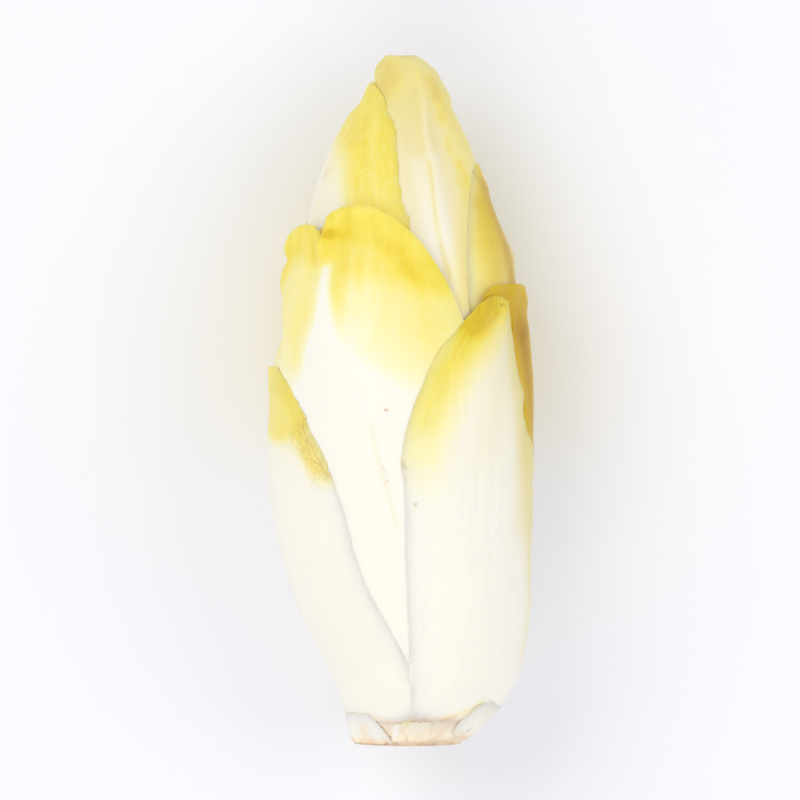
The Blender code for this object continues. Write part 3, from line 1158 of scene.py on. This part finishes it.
@dataclass(frozen=True)
class Leaves:
    """All the leaves of the head, from the outermost to the heart."""

    form: HeadForm
    stub_left: Blade = Blade(
        "leaf_stub_left", "leaf_stub",
        Outline(
            left=((0.5, -98), (6.4, -95)),
            right=((0.5, -16), (3, -27), (6.4, -42)),
            top=((-1, 4.8), (-0.7, 6.0), (0, 6.3), (0.7, 6.6), (1, 6.4)),
            foot=((-1, 1.4), (-0.6, 0.8), (-0.2, 0.4), (0.3, 0.4), (0.6, 0.3), (1, 0.6)),
        ),
        cells=(96, 40), standoff=0.15, crinkle=0.1, edge=0.35, heel=1.0, rib=6.0, seed=41,
        marks=(
            # a ridge, a hollow and a swelling
            Mark(RAISE, 0.4, ((-26, 0.9), (-36, 3), (-47, 5.3)), 1.0), Mark(RAISE, -0.4, ((-56, 2.8),), 1.6),
            Mark(RAISE, 0.35, ((-66, 3.2),), 1.8),
            # browned spots
            Mark(CUT, 0.8, ((-52, 3.1),), 1.5), Mark(CUT, 0.3, ((-44, 1.6),), 1.2),
            Mark(BROWN, 0.25, ((-49, 2.4),), 0.8),
        ),
    )
    stub_right: Blade = Blade(
        "leaf_stub_right", "leaf_stub",
        Outline(
            left=((1.2, 44), (3, 36), (4.5, 35), (6.5, 38), (8.8, 45)),
            right=((1.2, 138), (8.8, 134)),
            top=((-1, 8.0), (-0.9, 8.7), (-0.78, 8.8), (-0.5, 8.0), (0, 7.4), (1, 6.4)),
            foot=((-1, 2.6), (-0.8, 1.9), (-0.4, 1.3), (0, 1.2), (1, 1.2)),
        ),
        cells=(110, 40), standoff=0.05, crinkle=0.12, cream=0.06, edge=0.25, heel=1.0, rib=5.5, seed=43,
        marks=(
            # the torn edge
            Mark(CUT, 0.6, FLAP_TEAR, 0.5), Mark(YELLOW, 0.3, FLAP_TEAR, 0.8),
            # browned spots
            Mark(CUT, 0.4, ((62, 5.6),), 1.2), Mark(BROWN, 0.45, ((50, 2.2), (56, 3.0)), 0.6),
            Mark(BROWN, 0.5, ((66, 1.5), (100, 1.4)), 0.6),
        ),
    )
    outer_right: Blade = Blade(
        "leaf_outer_right", "outer_leaf",
        Outline(
            left=(
                (4, -7.5), (8, -8.5), (13.5, -9.6), (22, -5.4), (31, -2), (41, 0.6), (48, 1.4), (55, 0.4),
                (58, 1.2), (62, 3.1), (66.6, 6.6), (70.8, 11), (75.6, 17.2), (79.8, 25.4), (84.3, 37.4),
            ),
            right=(
                (4, 95), (40, 97), (52, 92), (56.4, 83), (62.1, 74.2), (68.7, 68.9), (75.6, 64), (82.5, 65),
            ),
            top=((-1, 84.4), (-0.6, 86.2), (-0.2, 87.3), (0.2, 87.6), (0.6, 86.6), (0.85, 85.2), (1, 83.6)),
            foot=((-1, 4.85), (-0.94, 4.7), (-0.5, 4.72), (-0.15, 4.75), (0.05, 4.85), (0.4, 4.85), (1, 4.7)),
        ),
        lip=Lip(0.2, 1.6), cells=(130, 180), edge=0.4, rib=3.2, seed=3,
        marks=(
            # the folds at the tip
            Mark(RAISE, 0.9, ((57, 84), (53, 74), (49, 58)), 2.2, 7.0, 0.2),
            Mark(RAISE, 0.6, ((44, 86),), 2.0), Mark(RAISE, -0.8, ((55, 85.6), (50, 79)), 0.8, 1.4, -0.1),
            Mark(RAISE, -0.5, ((42, 84.6), (39, 79)), 0.9, 1.6, -0.1), Mark(RAISE, 0.6, ((60, 86.0),), 1.0),
            # the yellow left margin and the paler rib
            Mark(YELLOW, 0.42, ((44, 84), (30, 77)), 3.4, 2.6, 0.05),
            Mark(YELLOW, 0.2, ((30, 77), (18, 70), (10, 62)), 2.6, 2.0, 0.1),
            Mark(YELLOW, -0.35, ((59, 81), (55, 70), (50, 58)), 1.2, 5.0),
            Mark(CREAM, 0.5, ((52, 80), (46, 66), (40, 58)), 2.5, 7.0, 0.2),
            # the dull right side, creamier and ochre towards its margin: partly its own tone, partly painted
            # shade where it turns away from the light
            Mark(OCHRE, 0.4, ((47, 86), (40, 83)), 2.4, 2.0, 0.15),
            Mark(CREAM, 0.95, ((60, 82), (62, 70), (67, 58), (70, 44)), 1.8, 4.5, 0.5),
            Mark(CREAM, 0.85, ((82, 58), (86, 46), (84, 32), (80, 20)), 6.0, 4.0, 0.3),
            Mark(OCHRE, 0.65, ((66, 73), (74, 60), (80, 46), (82, 32)), 1.8, 3.6, 0.15),
            # specks at the tip
            Mark(BROWN, 0.5, ((56, 86.0), (60, 85)), 0.6), Mark(BROWN, 0.9, ((57, 85.2),), 0.35),
            Mark(BROWN, 0.8, ((47.5, 82),), 0.3), Mark(BROWN, 0.7, ((53, 83.6),), 0.25),
            # the torn edge at the foot
            Mark(CUT, 0.6, FOOT_TEAR, 0.5), Mark(YELLOW, 0.2, FOOT_TEAR, 0.7),
            # specks on the belly
            Mark(BROWN, 0.35, ((1.2, 55), (2.6, 52)), 0.6, 0.8), Mark(BROWN, 0.7, ((6, 47),), 0.3),
        ),
        blushes=(
            Blush(LEFT, 0.5, 8.5, ((45, 0.0), (51, 0.2), (58, 0.6), (66, 0.95), (75, 1.1)), 0.5),
            Blush(TOP, 0.7, 5.0), Blush(RIGHT, 0.3, 2.5, ((20, 0.0), (40, 1.0), (100, 1.0))),
        ),
    )
    outer_left: Blade = Blade(
        "leaf_outer_left", "outer_leaf",
        Outline(
            left=((4, -150), (30, -152), (50, -142), (62, -128)),
            right=(
                (4, -4), (10, -4.5), (14, -7), (19.2, -11.8), (23.7, -15.1), (31.2, -22), (37, -24.5),
                (43.2, -26.2), (53.4, -32.3), (57, -36), (60.9, -42), (65.1, -48), (69.3, -56.4),
                (72.6, -67.4),
            ),
            top=((-1, 60), (-0.7, 66), (-0.4, 70.6), (-0.1, 73.0), (0.2, 73.7), (0.8, 73.5), (1, 72.3)),
            foot=((-1, 5.2), (0.3, 5.3), (0.46, 5.2), (0.58, 4.9), (0.78, 4.4), (0.85, 4.8), (1, 4.9)),
        ),
        lip=Lip(0.15, 1.5), cells=(130, 150), cream=0.04, edge=0.4, rib=3.2, seed=5,
        marks=(
            # the dried, veined patch
            Mark(YELLOW, 0.24, ((-50, 59), (-41, 54)), 2.6, 1.6, 0.16),
            Mark(OCHRE, 0.18, ((-47, 62), (-38, 56), (-33, 53)), 1.4, 1.0, 0.14),
            Mark(BROWN, 0.42, ((-48, 62), (-40, 56), (-34, 52.5)), 1.6, 1.1),
            Mark(BROWN, 0.22, ((-56, 60.5), (-46, 56), (-41, 51.5)), 1.0, 1.4),
            # a cream flank, a torn nick, a swelling and a hollow
            Mark(CREAM, 0.25, ((-74, 68), (-58, 62)), 7.0), Mark(CUT, 0.6, ((-43, 6.3), (-33, 5.0)), 0.6),
            Mark(RAISE, 0.5, ((-88, 72),), 4.0), Mark(RAISE, -0.4, ((-17, 18.5), (-10, 14.5)), 2.0),
        ),
        blushes=(
            Blush(TOP, 0.62, 14.0, ((50, 0.0), (57, 0.25), (60.5, 1.0), (100, 1.0)), 0.15),
            Blush(RIGHT, 0.45, 4.5, ((49, 0.0), (54, 1.0), (100, 1.0))),
        ),
    )
    stub_front: Blade = Blade(
        "leaf_stub_front", "leaf_stub",
        Outline(
            left=((0.9, -34), (5.4, -50)),
            right=((0.9, 62), (5.4, 64)),
            top=((-1, 5.3), (1, 5.4)),
            foot=((-1, 0.9), (-0.2, 1.0), (0.2, 1.1), (0.55, 1.4), (0.8, 1.6), (1, 2.4)),
        ),
        cells=(110, 40), standoff=-0.12, crinkle=0.1, edge=0.3, cut=0.75, torn=0.1, heel=1.0, rib=6.0,
        seed=45,
        marks=(
            # a ridge, a knob and a hollow
            Mark(RAISE, 0.5, ((-17, 1.3), (-17, 4.3)), 0.6), Mark(RAISE, 0.25, ((-5, 4.9),), 0.9),
            Mark(RAISE, -0.3, ((8, 3.0), (30, 3.2)), 0.9),
            # patches that stayed pale
            Mark(CUT, -0.9, ((-17, 1.3), (-17, 4.3)), 0.65), Mark(CUT, -0.75, ((14, 1.3), (22, 1.5)), 0.8),
            Mark(CUT, -0.7, ((36, 1.6), (42, 1.8)), 0.8),
            # a yellow shred
            Mark(YELLOW, 0.6, ((-9, 5.0), (-12, 5.3)), 0.8), Mark(CUT, -0.55, ((-9, 5.0), (-12, 5.3)), 0.8),
            # browned spots
            Mark(BROWN, 1.0, ((21, 4.0),), 0.45), Mark(BROWN, 0.4, ((46, 2.4), (60, 3.0)), 0.7),
            Mark(BROWN, 0.5, ((-30, 1.0), (0, 1.1)), 0.5),
        ),
    )
    outer_under: Blade = Blade(
        "leaf_outer_under", "outer_leaf",
        Outline.plain(178, 180, 87, 5.4, 96, 26),
        lip=Lip(0.1, 2.0), rib=3.0, seed=8,
        blushes=(
            Blush(TOP, 0.8, 12.0), Blush(LEFT, 0.5, 5.0, ((40, 0.0), (70, 1.0))),
            Blush(RIGHT, 0.5, 5.0, ((40, 0.0), (70, 1.0))),
        ),
    )
    right_back: Blade = Blade(
        "leaf_right_back", "outer_leaf",
        Outline(
            left=((6.5, 40), (60, 36), (80, 40), (87.3, 45)),
            right=((6.5, 148), (50, 150), (75, 138), (84, 118)),
            top=(
                (-1, 87.0), (-0.85, 88.8), (-0.7, 89.3), (-0.3, 89.6), (-0.1, 89.5), (0.1, 88.6),
                (0.45, 85.8), (1, 82),
            ),
            foot=((-1, 6.5), (1, 6.5)),
        ),
        lip=Lip(0.3, 2.0), ragged=0.04, rib=2.4, seed=9,
        marks=(
            # the bulging flap and its golden face, deepened towards brown at its lower right: its own gold
            # with painted shade
            Mark(RAISE, 1.6, ((88, 90), (90, 74)), 9.0, 9.0, 0.9),
            Mark(OCHRE, 0.75, ((50, 89), (100, 88)), 6.0),
            Mark(OCHRE, 1.0, ((70, 84), (78, 70), (86, 50)), 11.0, 7.0, 0.6),
            Mark(DEEP_OCHRE_AND_SHADE, 0.75, ((76, 79), (80, 70), (84, 60)), 5.0, 6.0, 0.7),
        ),
        blushes=(
            Blush(TOP, 0.95, 24.0), Blush(LEFT, 0.9, 14.0, ((40, 0.0), (60, 1.0))),
            Blush(RIGHT, 0.6, 8.0, ((40, 0.0), (60, 1.0))),
        ),
    )
    front: Blade = Blade(
        "leaf_front", "upper_leaf",
        Outline(
            left=((8, -125), (60, -128), (82, -122), (92, -106)),
            right=((8, 38), (60, 42), (72, 39), (80, 33.5), (85.8, 28.9), (89.4, 24.5), (93, 19.3)),
            top=(
                (-1, 91.5), (-0.85, 95.2), (-0.74, 98.3), (-0.61, 100.3), (-0.35, 101.1), (-0.236, 101.0),
                (-0.166, 100.7), (-0.112, 99.7), (-0.06, 101.6), (0.0, 103.2), (0.12, 104.3), (0.29, 104.6),
                (0.5, 103.6), (0.683, 101.4), (0.852, 97.8), (1, 93.0),
            ),
            foot=((-1, 8.0), (1, 8.0)),
        ),
        lip=Lip(1.3, 3.4, 1.3, 7.0, ((-1, 0.6), (-0.3, 0.5), (-0.05, 1.0), (0.35, 0.9), (0.7, 0.5), (1, 0.2))),
        cells=(160, 220), rib=2.8, seed=12,
        marks=(
            # the notch in the rim, the folds below it and the bulges of the left lobe
            Mark(RAISE, -0.9, ((-48.5, 101), (-48, 96)), 1.0, 1.0, 0.0),
            Mark(RAISE, 0.7, ((-58, 99), (-55, 88)), 1.6, 3.0, 0.1),
            Mark(RAISE, -0.5, ((-54, 99), (-51, 93)), 1.0, 1.6, 0.0),
            Mark(RAISE, 0.9, ((-47, 97), (-43, 86), (-40, 72)), 1.4, 6.0, 0.2),
            Mark(RAISE, 0.9, ((-88, 97.2),), 3.2), Mark(RAISE, 1.0, ((-92, 89.5),), 4.0),
            Mark(RAISE, -0.7, ((-100, 94.6), (-74, 93.6)), 1.2, 1.0, 0.0),
            Mark(RAISE, -1.2, ((-96, 81), (-84, 78)), 4.0),
            # the pale rib and the yellow on both sides of it
            Mark(YELLOW, -0.5, ((-42, 92), (-39.5, 87), (-38.5, 82), (-38.5, 76)), 1.2, 3.0, -0.7),
            Mark(YELLOW, -0.8, ((-37, 75), (-30, 64)), 3.4, 9.0),
            Mark(YELLOW, 0.22, ((-34, 88), (-31, 80), (-22, 71)), 2.0, 0.6, 0.12),
            Mark(YELLOW, 0.24, ((-30, 93), (-12, 93), (0, 91)), 3.8, 3.2, 0.2),
            Mark(YELLOW, 0.1, ((-60, 80), (-50, 72)), 3.0),
            # faint streaks
            Mark(YELLOW, -0.07, ((-27, 95), (-25, 87)), 0.6, 1.0),
            Mark(YELLOW, -0.06, ((-17, 92), (-16, 80)), 0.7, 1.3),
            Mark(YELLOW, -0.05, ((-9, 94), (-11, 84)), 0.5, 0.9),
            Mark(YELLOW, -0.06, ((1, 90), (-3, 79)), 0.7, 1.2),
            # the darker rim, painted shade in the valley below it and in the fold of the left lobe, and the
            # browned notch
            Mark(YELLOW, 0.2, ((-43, 98.8),), 1.2),
            Mark(YELLOW, 0.16, ((-40, 99), (-20, 97.6), (-2, 95.8)), 1.2, 1.6, 0.05),
            Mark(OCHRE, 0.2, ((-55, 98.5), (-51, 94)), 0.9),
            Mark(BROWN, 1.0, ((-48.5, 100.4), (-47.5, 98.6)), 0.6, 0.4),
            # a speck, and a crease with a browned edge, darkened along its line with painted shade
            Mark(BROWN, 1.0, ((-6, 65.1),), 0.35), Mark(RAISE, -0.16, BELLY_CREASE, 0.6),
            Mark(CREAM, 0.22, BELLY_CREASE, 0.4), Mark(BROWN, 0.35, ((-8, 54), (-6, 51)), 0.4),
        ),
        blushes=(
            Blush(TOP, 0.27, 21.0, softness=0.45), Blush(TOP, 0.52, 6.5, softness=0.4),
            Blush(LEFT, 0.26, 30.5, ((60, 0.0), (66, 0.7), (76, 1.0)), 0.12),
            Blush(RIGHT, 0.3, 16.0, ((60, 0.0), (68, 0.3), (76, 0.85), (84, 0.95)), 0.7),
        ),
    )
    left_back: Blade = Blade(
        "leaf_left_back", "upper_leaf",
        Outline.plain(-148, -150, 76, 10, 108, 24),
        lip=Lip(0.3, 2.5), rib=2.2, seed=14,
        blushes=(Blush(TOP, 0.75, 16.0), Blush(RIGHT, 0.5, 8.0, ((50, 0.0), (80, 1.0)))),
    )
    right_side: Blade = Blade(
        "leaf_right_side", "upper_leaf",
        Outline(
            left=(
                (12.5, 40), (60, 40), (89.7, 39), (94.2, 41), (100.2, 46), (106.2, 53.5), (110, 61),
                (112.2, 68),
            ),
            right=((12.5, 180), (60, 182), (92, 168), (106, 140)),
            top=((-1, 112.0), (-0.7, 113.2), (-0.35, 113.4), (0.2, 112.0), (1, 104.0)),
            foot=((-1, 12.5), (1, 12.5)),
        ),
        lip=Lip(0.2, 2.0), rib=2.1, seed=17,
        marks=(
            # the left edge lies close, below two bulges
            Mark(RAISE, -2.1, SIDE_SEAM, 5.0, 5.0, 0.0), Mark(RAISE, 0.8, ((96, 110),), 3.0),
            Mark(RAISE, 0.9, ((96, 95.5),), 3.5),
            # the pale left edge
            Mark(YELLOW, -0.3, SIDE_SEAM, 2.4), Mark(CREAM, 0.45, SIDE_SEAM, 2.2),
            # the right part: its own ochre, deepened towards brown with painted shade where it turns away from
            # the light, and a browned spot at the tip
            Mark(OCHRE, 0.36, ((60, 104), (56, 90)), 3.4), Mark(OCHRE, 0.7, ((82, 107), (76, 90)), 5.5),
            Mark(CREAM, 0.3, ((92, 104), (84, 90)), 4.0), Mark(DEEP_OCHRE_AND_SHADE, 0.7, ((84, 108), (78, 90)), 5.0),
            Mark(BROWN, 0.42, ((86, 106), (80, 90)), 4.0), Mark(BROWN, 0.5, ((66, 112.5), (72, 110)), 0.7),
        ),
        blushes=(
            Blush(TOP, 0.45, 20.0), Blush(LEFT, 0.5, 10.0, ((60, 0.0), (80, 1.0))),
            Blush(RIGHT, 0.4, 8.0, ((60, 0.0), (80, 1.0))),
        ),
    )
    upper_left: Blade = Blade(
        "leaf_upper_left", "upper_leaf",
        Outline(
            left=((15, -150), (95, -148), (112, -144), (121, -132)),
            right=(
                (15, -8), (60, 0), (95, 8), (101.4, 6.4), (105.3, 1.5), (110.7, -0.6), (115.8, -2),
                (120, -5.6), (122.7, -15.3), (125.3, -28), (127.5, -43),
            ),
            top=((-1, 119.5), (-0.6, 125.0), (-0.2, 128.0), (0.15, 128.8), (0.6, 128.6), (1, 127.6)),
            foot=((-1, 15), (1, 15)),
        ),
        lip=Lip(0.25, 1.6), hull=Hull.CORE, ragged=0.5, rib=1.9, net=0.2, seed=21,
        marks=(
            # the rib
            Mark(RAISE, 0.4, ((-40, 126), (-34, 112), (-30, 102)), 3.0, 4.0, 0.1),
            # the pale left part
            Mark(YELLOW, -0.22, ((-84, 114), (-80, 106), (-72, 96)), 3.0, 8.0),
            Mark(CREAM, 0.3, ((-70, 118), (-62, 104)), 6.0),
            # a side vein
            Mark(YELLOW, -0.1, LEFT_VEIN, 0.7, 1.0), Mark(RAISE, 0.25, LEFT_VEIN, 0.8, 1.2),
            # a bruise
            Mark(BROWN, 0.25, ((-66, 111),), 1.4),
        ),
        blushes=(
            Blush(TOP, 0.4, 14.0, softness=0.7),
            Blush(RIGHT, 0.68, 11.6, ((60, 0.0), (88, 0.7), (100, 1.0), (116, 1.0), (126, 0.8)), 0.3),
            Blush(LEFT, 0.3, 6.0, ((80, 0.0), (100, 1.0))),
        ),
    )
    upper_under: Blade = Blade(
        "leaf_upper_under", "upper_leaf",
        Outline.plain(165, 170, 80, 17.5, 122, 22),
        lip=Lip(-3.6, 7.0), hull=Hull.CORE, rib=1.8, seed=23,
        blushes=(Blush(TOP, 0.7, 16.0), Blush(LEFT, 0.5, 8.0), Blush(RIGHT, 0.5, 8.0)),
    )
    upper_right: Blade = Blade(
        "leaf_upper_right", "upper_leaf",
        Outline(
            left=((20, -55), (100, -60), (127, -60), (129.3, -66), (130.2, -82), (132.4, -92)),
            right=((20, 105), (90, 100), (112, 97), (124, 98), (132.2, 92)),
            top=(
                (-1, 132.6), (-0.8, 133.4), (-0.45, 134.0), (0.0, 133.9), (0.5, 134.0), (0.8, 133.2),
                (1, 132.0),
            ),
            foot=((-1, 20), (1, 20)),
        ),
        lip=Lip(0.15, 1.5), hull=Hull.CORE, cream=0.4, rib=1.8, seed=26,
        marks=(
            # two veins, and a swelling under the leaf beside it
            Mark(RAISE, 0.35, ((18, 132), (24, 126), (24, 117), (22, 109), (25, 98)), 0.8, 1.2),
            Mark(RAISE, 0.3, ((26, 116), (29, 104), (31, 91)), 0.8, 1.2),
            Mark(RAISE, 1.4, ((34, 78), (36, 86), (40, 94), (45, 100), (51, 106)), 4.5, 3.5, 0.15),
            # cream flesh, less of it at the margins
            Mark(CREAM, 0.8, ((20, 136), (22, 120), (28, 98)), 16.0, 12.0, 0.05),
            Mark(CREAM, 0.5, ((66, 108), (48, 96), (42, 88)), 3.5, 4.0),
            Mark(CREAM, -0.25, ((18, 132), (24, 124), (23, 112), (25, 98)), 0.5, 0.9),
            Mark(CREAM, -0.4, ((44, 129), (48, 122), (56, 110)), 2.2, 3.2),
            Mark(CREAM, -0.4, ((-45, 133), (-25, 129)), 3.6),
            # the whitest flesh beside the vein
            Mark(CREAM, -0.32, ((14, 112), (18, 103), (21, 94)), 2.0),
            Mark(CREAM, -0.3, ((29, 114), (29, 104), (30.5, 95), (32, 88)), 1.0, 1.4),
            # the lines of the veins
            Mark(CREAM, 0.4, RIGHT_VEIN, 0.4), Mark(YELLOW, 0.22, RIGHT_VEIN, 0.45),
            Mark(YELLOW, 0.25, ((2, 132), (12, 129.5), (15.5, 122), (20, 115)), 0.4),
            # yellow mottles at the right margin
            Mark(YELLOW, 0.36, ((44, 128), (48, 121), (56, 108)), 2.0, 3.4, 0.45),
            Mark(YELLOW, 0.3, ((38, 125.5),), 0.9), Mark(YELLOW, 0.34, ((42, 121.5),), 1.3),
            Mark(YELLOW, 0.3, ((46, 117), (44, 115)), 1.0), Mark(YELLOW, 0.3, ((50, 112.5),), 1.5),
            Mark(YELLOW, 0.26, ((44, 109),), 1.0),
            Mark(YELLOW, 0.4, ((35, 86), (38, 94), (45, 102), (54, 109)), 2.2),
            # the yellow left lobe and the browned tip
            Mark(YELLOW, 0.5, ((-45, 133), (-25, 128), (-12, 118)), 4.0, 2.2, 0.2),
            Mark(BROWN, 0.5, ((-10, 134), (30, 134)), 0.6),
        ),
        blushes=(
            Blush(TOP, 0.5, 8.0, softness=0.7),
            Blush(RIGHT, 0.6, 8.5, ((80, 0.0), (108, 0.4), (116, 1.0)), 0.35),
            Blush(LEFT, 0.5, 6.0, ((80, 0.0), (112, 1.0))),
        ),
    )

    def build(self, material: bpy.types.Material) -> None:
        """Lays every leaf in turn, each inside those before it.

        Args:
            material: the leaf finish.
        """
        wrap = Wrap(self.form)
        for blade in (
            self.stub_left, self.stub_right, *self.torn_bases(), self.outer_right, self.outer_left,
            self.stub_front, self.outer_under, self.right_back, self.front, self.left_back, self.right_side,
            self.upper_left, self.upper_under, self.upper_right, *self.inner_leaves(),
        ):
            blade.build(wrap, material)

    def torn_bases(self) -> Iterator[Blade]:
        """The torn bases of the leaves that were broken off behind.

        Returns:
            The bases, one after the other.
        """
        for name, turn, reach, foot, tip, seed in (
            ("leaf_stub_under", 171, 43, 0.8, 5.4, 47),
            ("leaf_stub_back", -122, 32, 1.4, 6.2, 49),
        ):
            left, right = turn - reach, turn + reach
            yield Blade(
                name, "leaf_stub",
                Outline(
                    left=((foot, left), (tip, left)),
                    right=((foot, right), (tip, right)),
                    top=((-1, tip - 0.3), (-0.6, tip), (0.0, tip - 0.5), (0.5, tip - 0.1), (1, tip - 0.4)),
                    foot=((-1, foot + 0.5), (0, foot), (1, foot + 0.4)),
                ),
                rib=6.0, edge=0.4, standoff=0.1, crinkle=0.12, heel=1.0, cells=(80, 36), seed=seed,
                marks=(
                    Mark(CUT, 0.7, ((left, tip - 1), (turn, tip - 0.3), (right, tip - 1.2)), 0.6),
                    Mark(BROWN, 0.6, ((turn - 0.4 * reach, tip - 0.3), (turn, tip - 0.6)), 0.5),
                    Mark(BROWN, 0.45, ((turn + 0.2 * reach, foot + 0.6), (right, foot + 0.7)), 0.6),
                ),
            )

    def inner_leaves(self) -> Iterator[Blade]:
        """The leaves inside, of which little more than the tips could ever be seen.

        Returns:
            The leaves, from the outermost inwards.
        """
        places = (  # turn, turn of the tip, heights of the foot and the tip, thickness of the rib
            (-112, -105, 23.0, 125.0, 1.6),
            (102, 110, 26.0, 121.0, 1.6),
            (-22, -15, 29.0, 116.0, 1.5),
            (-160, -165, 32.0, 110.0, 1.4),
            (60, 66, 35.0, 103.0, 1.3),
            (-75, -70, 38.0, 96.0, 1.2),
        )
        for number, (turn, tip_turn, foot, tip, rib) in enumerate(places, 1):
            yield Blade(
                f"leaf_inner_{number}", "inner_leaf",
                Outline.plain(turn, tip_turn, 80, foot, tip, 20.0),
                hull=Hull.CORE, rib=rib, edge=0.35, lip=Lip(-6.0, 11.0), cells=(40, 60), seed=29 + number,
                blushes=(Blush(TOP, 0.6, 14.0),),
            )


@dataclass(frozen=True)
class Stem:
    """The cut foot of the stem and the cone above it, which the leaves grow from."""

    form: HeadForm
    columns: int = 120
    disc_rings: int = 36
    side_rings: int = 44
    knife_step: float = 0.18  # mm of unevenness that the knife left
    seed: int = 60

    def build(self, material: bpy.types.Material) -> bpy.types.Object:
        """Makes the stem's mesh and puts it in the scene.

        Args:
            material: the cut finish.

        Returns:
            The stem.
        """
        radii = self.form.stem_radii
        rim = radii[0][1]
        turn = np.linspace(-180.0, 180.0, self.columns, endpoint=False)
        share = np.linspace(0.03, 1.0, self.disc_rings)
        climb = np.linspace(0.0, 1.0, self.side_rings + 1)[1:] ** 1.5 * radii[-1][0]
        height = np.concatenate([np.zeros(self.disc_rings), climb])[:, None] + np.zeros(self.columns)
        radius = np.concatenate([share * rim, smooth_curve(radii, climb)])[:, None] + np.zeros(self.columns)
        x, z = radius * np.sin(np.radians(turn)), radius * np.cos(np.radians(turn))
        on_disc = np.concatenate([np.ones(self.disc_rings), np.zeros(self.side_rings)])[:, None]
        rough = self.knife_step * (Ripple(self.seed, 7.0).at(x, z) + 0.4 * Ripple(self.seed + 1, 1.8).at(x, z))
        edge = 1.0 - soft_step(radius / rim, 0.86, 1.0) * on_disc
        height = height + on_disc * (np.clip(rough + 0.35, 0.0, 1.0) * edge + 0.35 * (1.0 - edge))
        side_ripple = Ripple(self.seed + 2, 3.0, 2.0).at(np.radians(turn) * rim, height)
        radius = radius + (1.0 - on_disc) * 0.12 * side_ripple
        rings = self.form.place(turn, height, radius)
        bundles = soft_step(radius / rim, 0.5, 0.62) * (1.0 - soft_step(radius / rim, 0.86, 0.94)) * on_disc
        rind = soft_step(radius / rim, 0.9, 0.99) * np.exp(-np.maximum(height - 0.5, 0.0) / 0.6)
        place = np.stack([x, height, z], axis=-1)
        zones = np.stack([bundles, rind, np.broadcast_to(1.0 - on_disc, x.shape)], axis=-1)
        mesh = turned_mesh("stem_core", rings, {"place": place, "zones": np.clip(zones, 0.0, 1.0)})
        return show_piece(mesh, "stem", "stem", material)


@dataclass(frozen=True)
class Studio:
    """A pale table, large soft lights and a camera that looks straight down."""

    form: HeadForm
    table_size: float = 1600.0
    camera_height: float = 1250.0
    frame_share: float = 0.86  # share of the picture's height that the head fills

    def build(self) -> None:
        """Makes the table, the lights, the world and the camera."""
        self._lay_table()
        self._hang_lights()
        self._light_world()
        self._aim_camera()

    def _lay_table(self) -> None:
        """A flat sheet under the head."""
        half = self.table_size / 2.0 * MM
        mesh = bpy.data.meshes.new("table_top")
        corners = ((-half, -half, 0.0), (half, -half, 0.0), (half, half, 0.0), (-half, half, 0.0))
        mesh.from_pydata(corners, [], [(0, 1, 2, 3)])
        mesh.materials.append(TableFinish().build())
        table = bpy.data.objects.new("table_top", mesh)
        bpy.context.scene.collection.objects.link(table)
        table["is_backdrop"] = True

    def _hang_lights(self) -> None:
        """One broad key light from the tip's side and two fills."""
        centre = Vector((0.0, 0.0, self.form.axis_height * MM))
        for name, place, size, power in (
            ("key_light", (-0.6, 0.5, 0.95), 0.9, 4.1),
            ("right_fill", (0.85, 0.1, 0.85), 0.9, 2.7),
            ("foot_fill", (-0.2, -0.9, 0.68), 0.9, 2.2),
        ):
            lamp = bpy.data.lights.new(name, "AREA")
            lamp.shape = "DISK"
            lamp.size = size
            lamp.energy = power
            lamp.color = linear("fffdfa")[:3]
            light = bpy.data.objects.new(name, lamp)
            light.location = place
            light.rotation_euler = (centre - Vector(place)).to_track_quat("-Z", "Y").to_euler()
            bpy.context.scene.collection.objects.link(light)

    def _light_world(self) -> None:
        """An even white surround."""
        world = bpy.data.worlds.new("white_surround")
        world.use_nodes = True
        background = world.node_tree.nodes["Background"]
        background.inputs["Color"].default_value = linear("fefeff")
        background.inputs["Strength"].default_value = 0.69
        bpy.context.scene.world = world
        bpy.context.scene.view_settings.view_transform = "Standard"

    def _aim_camera(self) -> None:
        """A long lens straight above the middle of the head, with the tip at the top."""
        data = bpy.data.cameras.new("overhead_camera")
        data.sensor_width = 36.0
        distance = self.camera_height - self.form.axis_height
        data.lens = data.sensor_width * distance / (self.form.length / self.frame_share)
        camera = bpy.data.objects.new("overhead_camera", data)
        camera.location = (0.0, 0.0, self.camera_height * MM)
        camera.rotation_euler = (0.0, 0.0, 0.0)
        bpy.context.scene.collection.objects.link(camera)
        bpy.context.scene.camera = camera


def main() -> None:
    """Builds the head and the studio, and reports each piece."""
    logging.basicConfig(level=logging.INFO, format="%(message)s")
    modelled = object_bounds()
    form = HeadForm.from_bounds(*modelled)
    Leaves(form).build(LeafFinish().build())
    Stem(form).build(CutFinish().build())
    Studio(form).build()
    log.info("studio built")


if __name__ == "__main__":
    main()
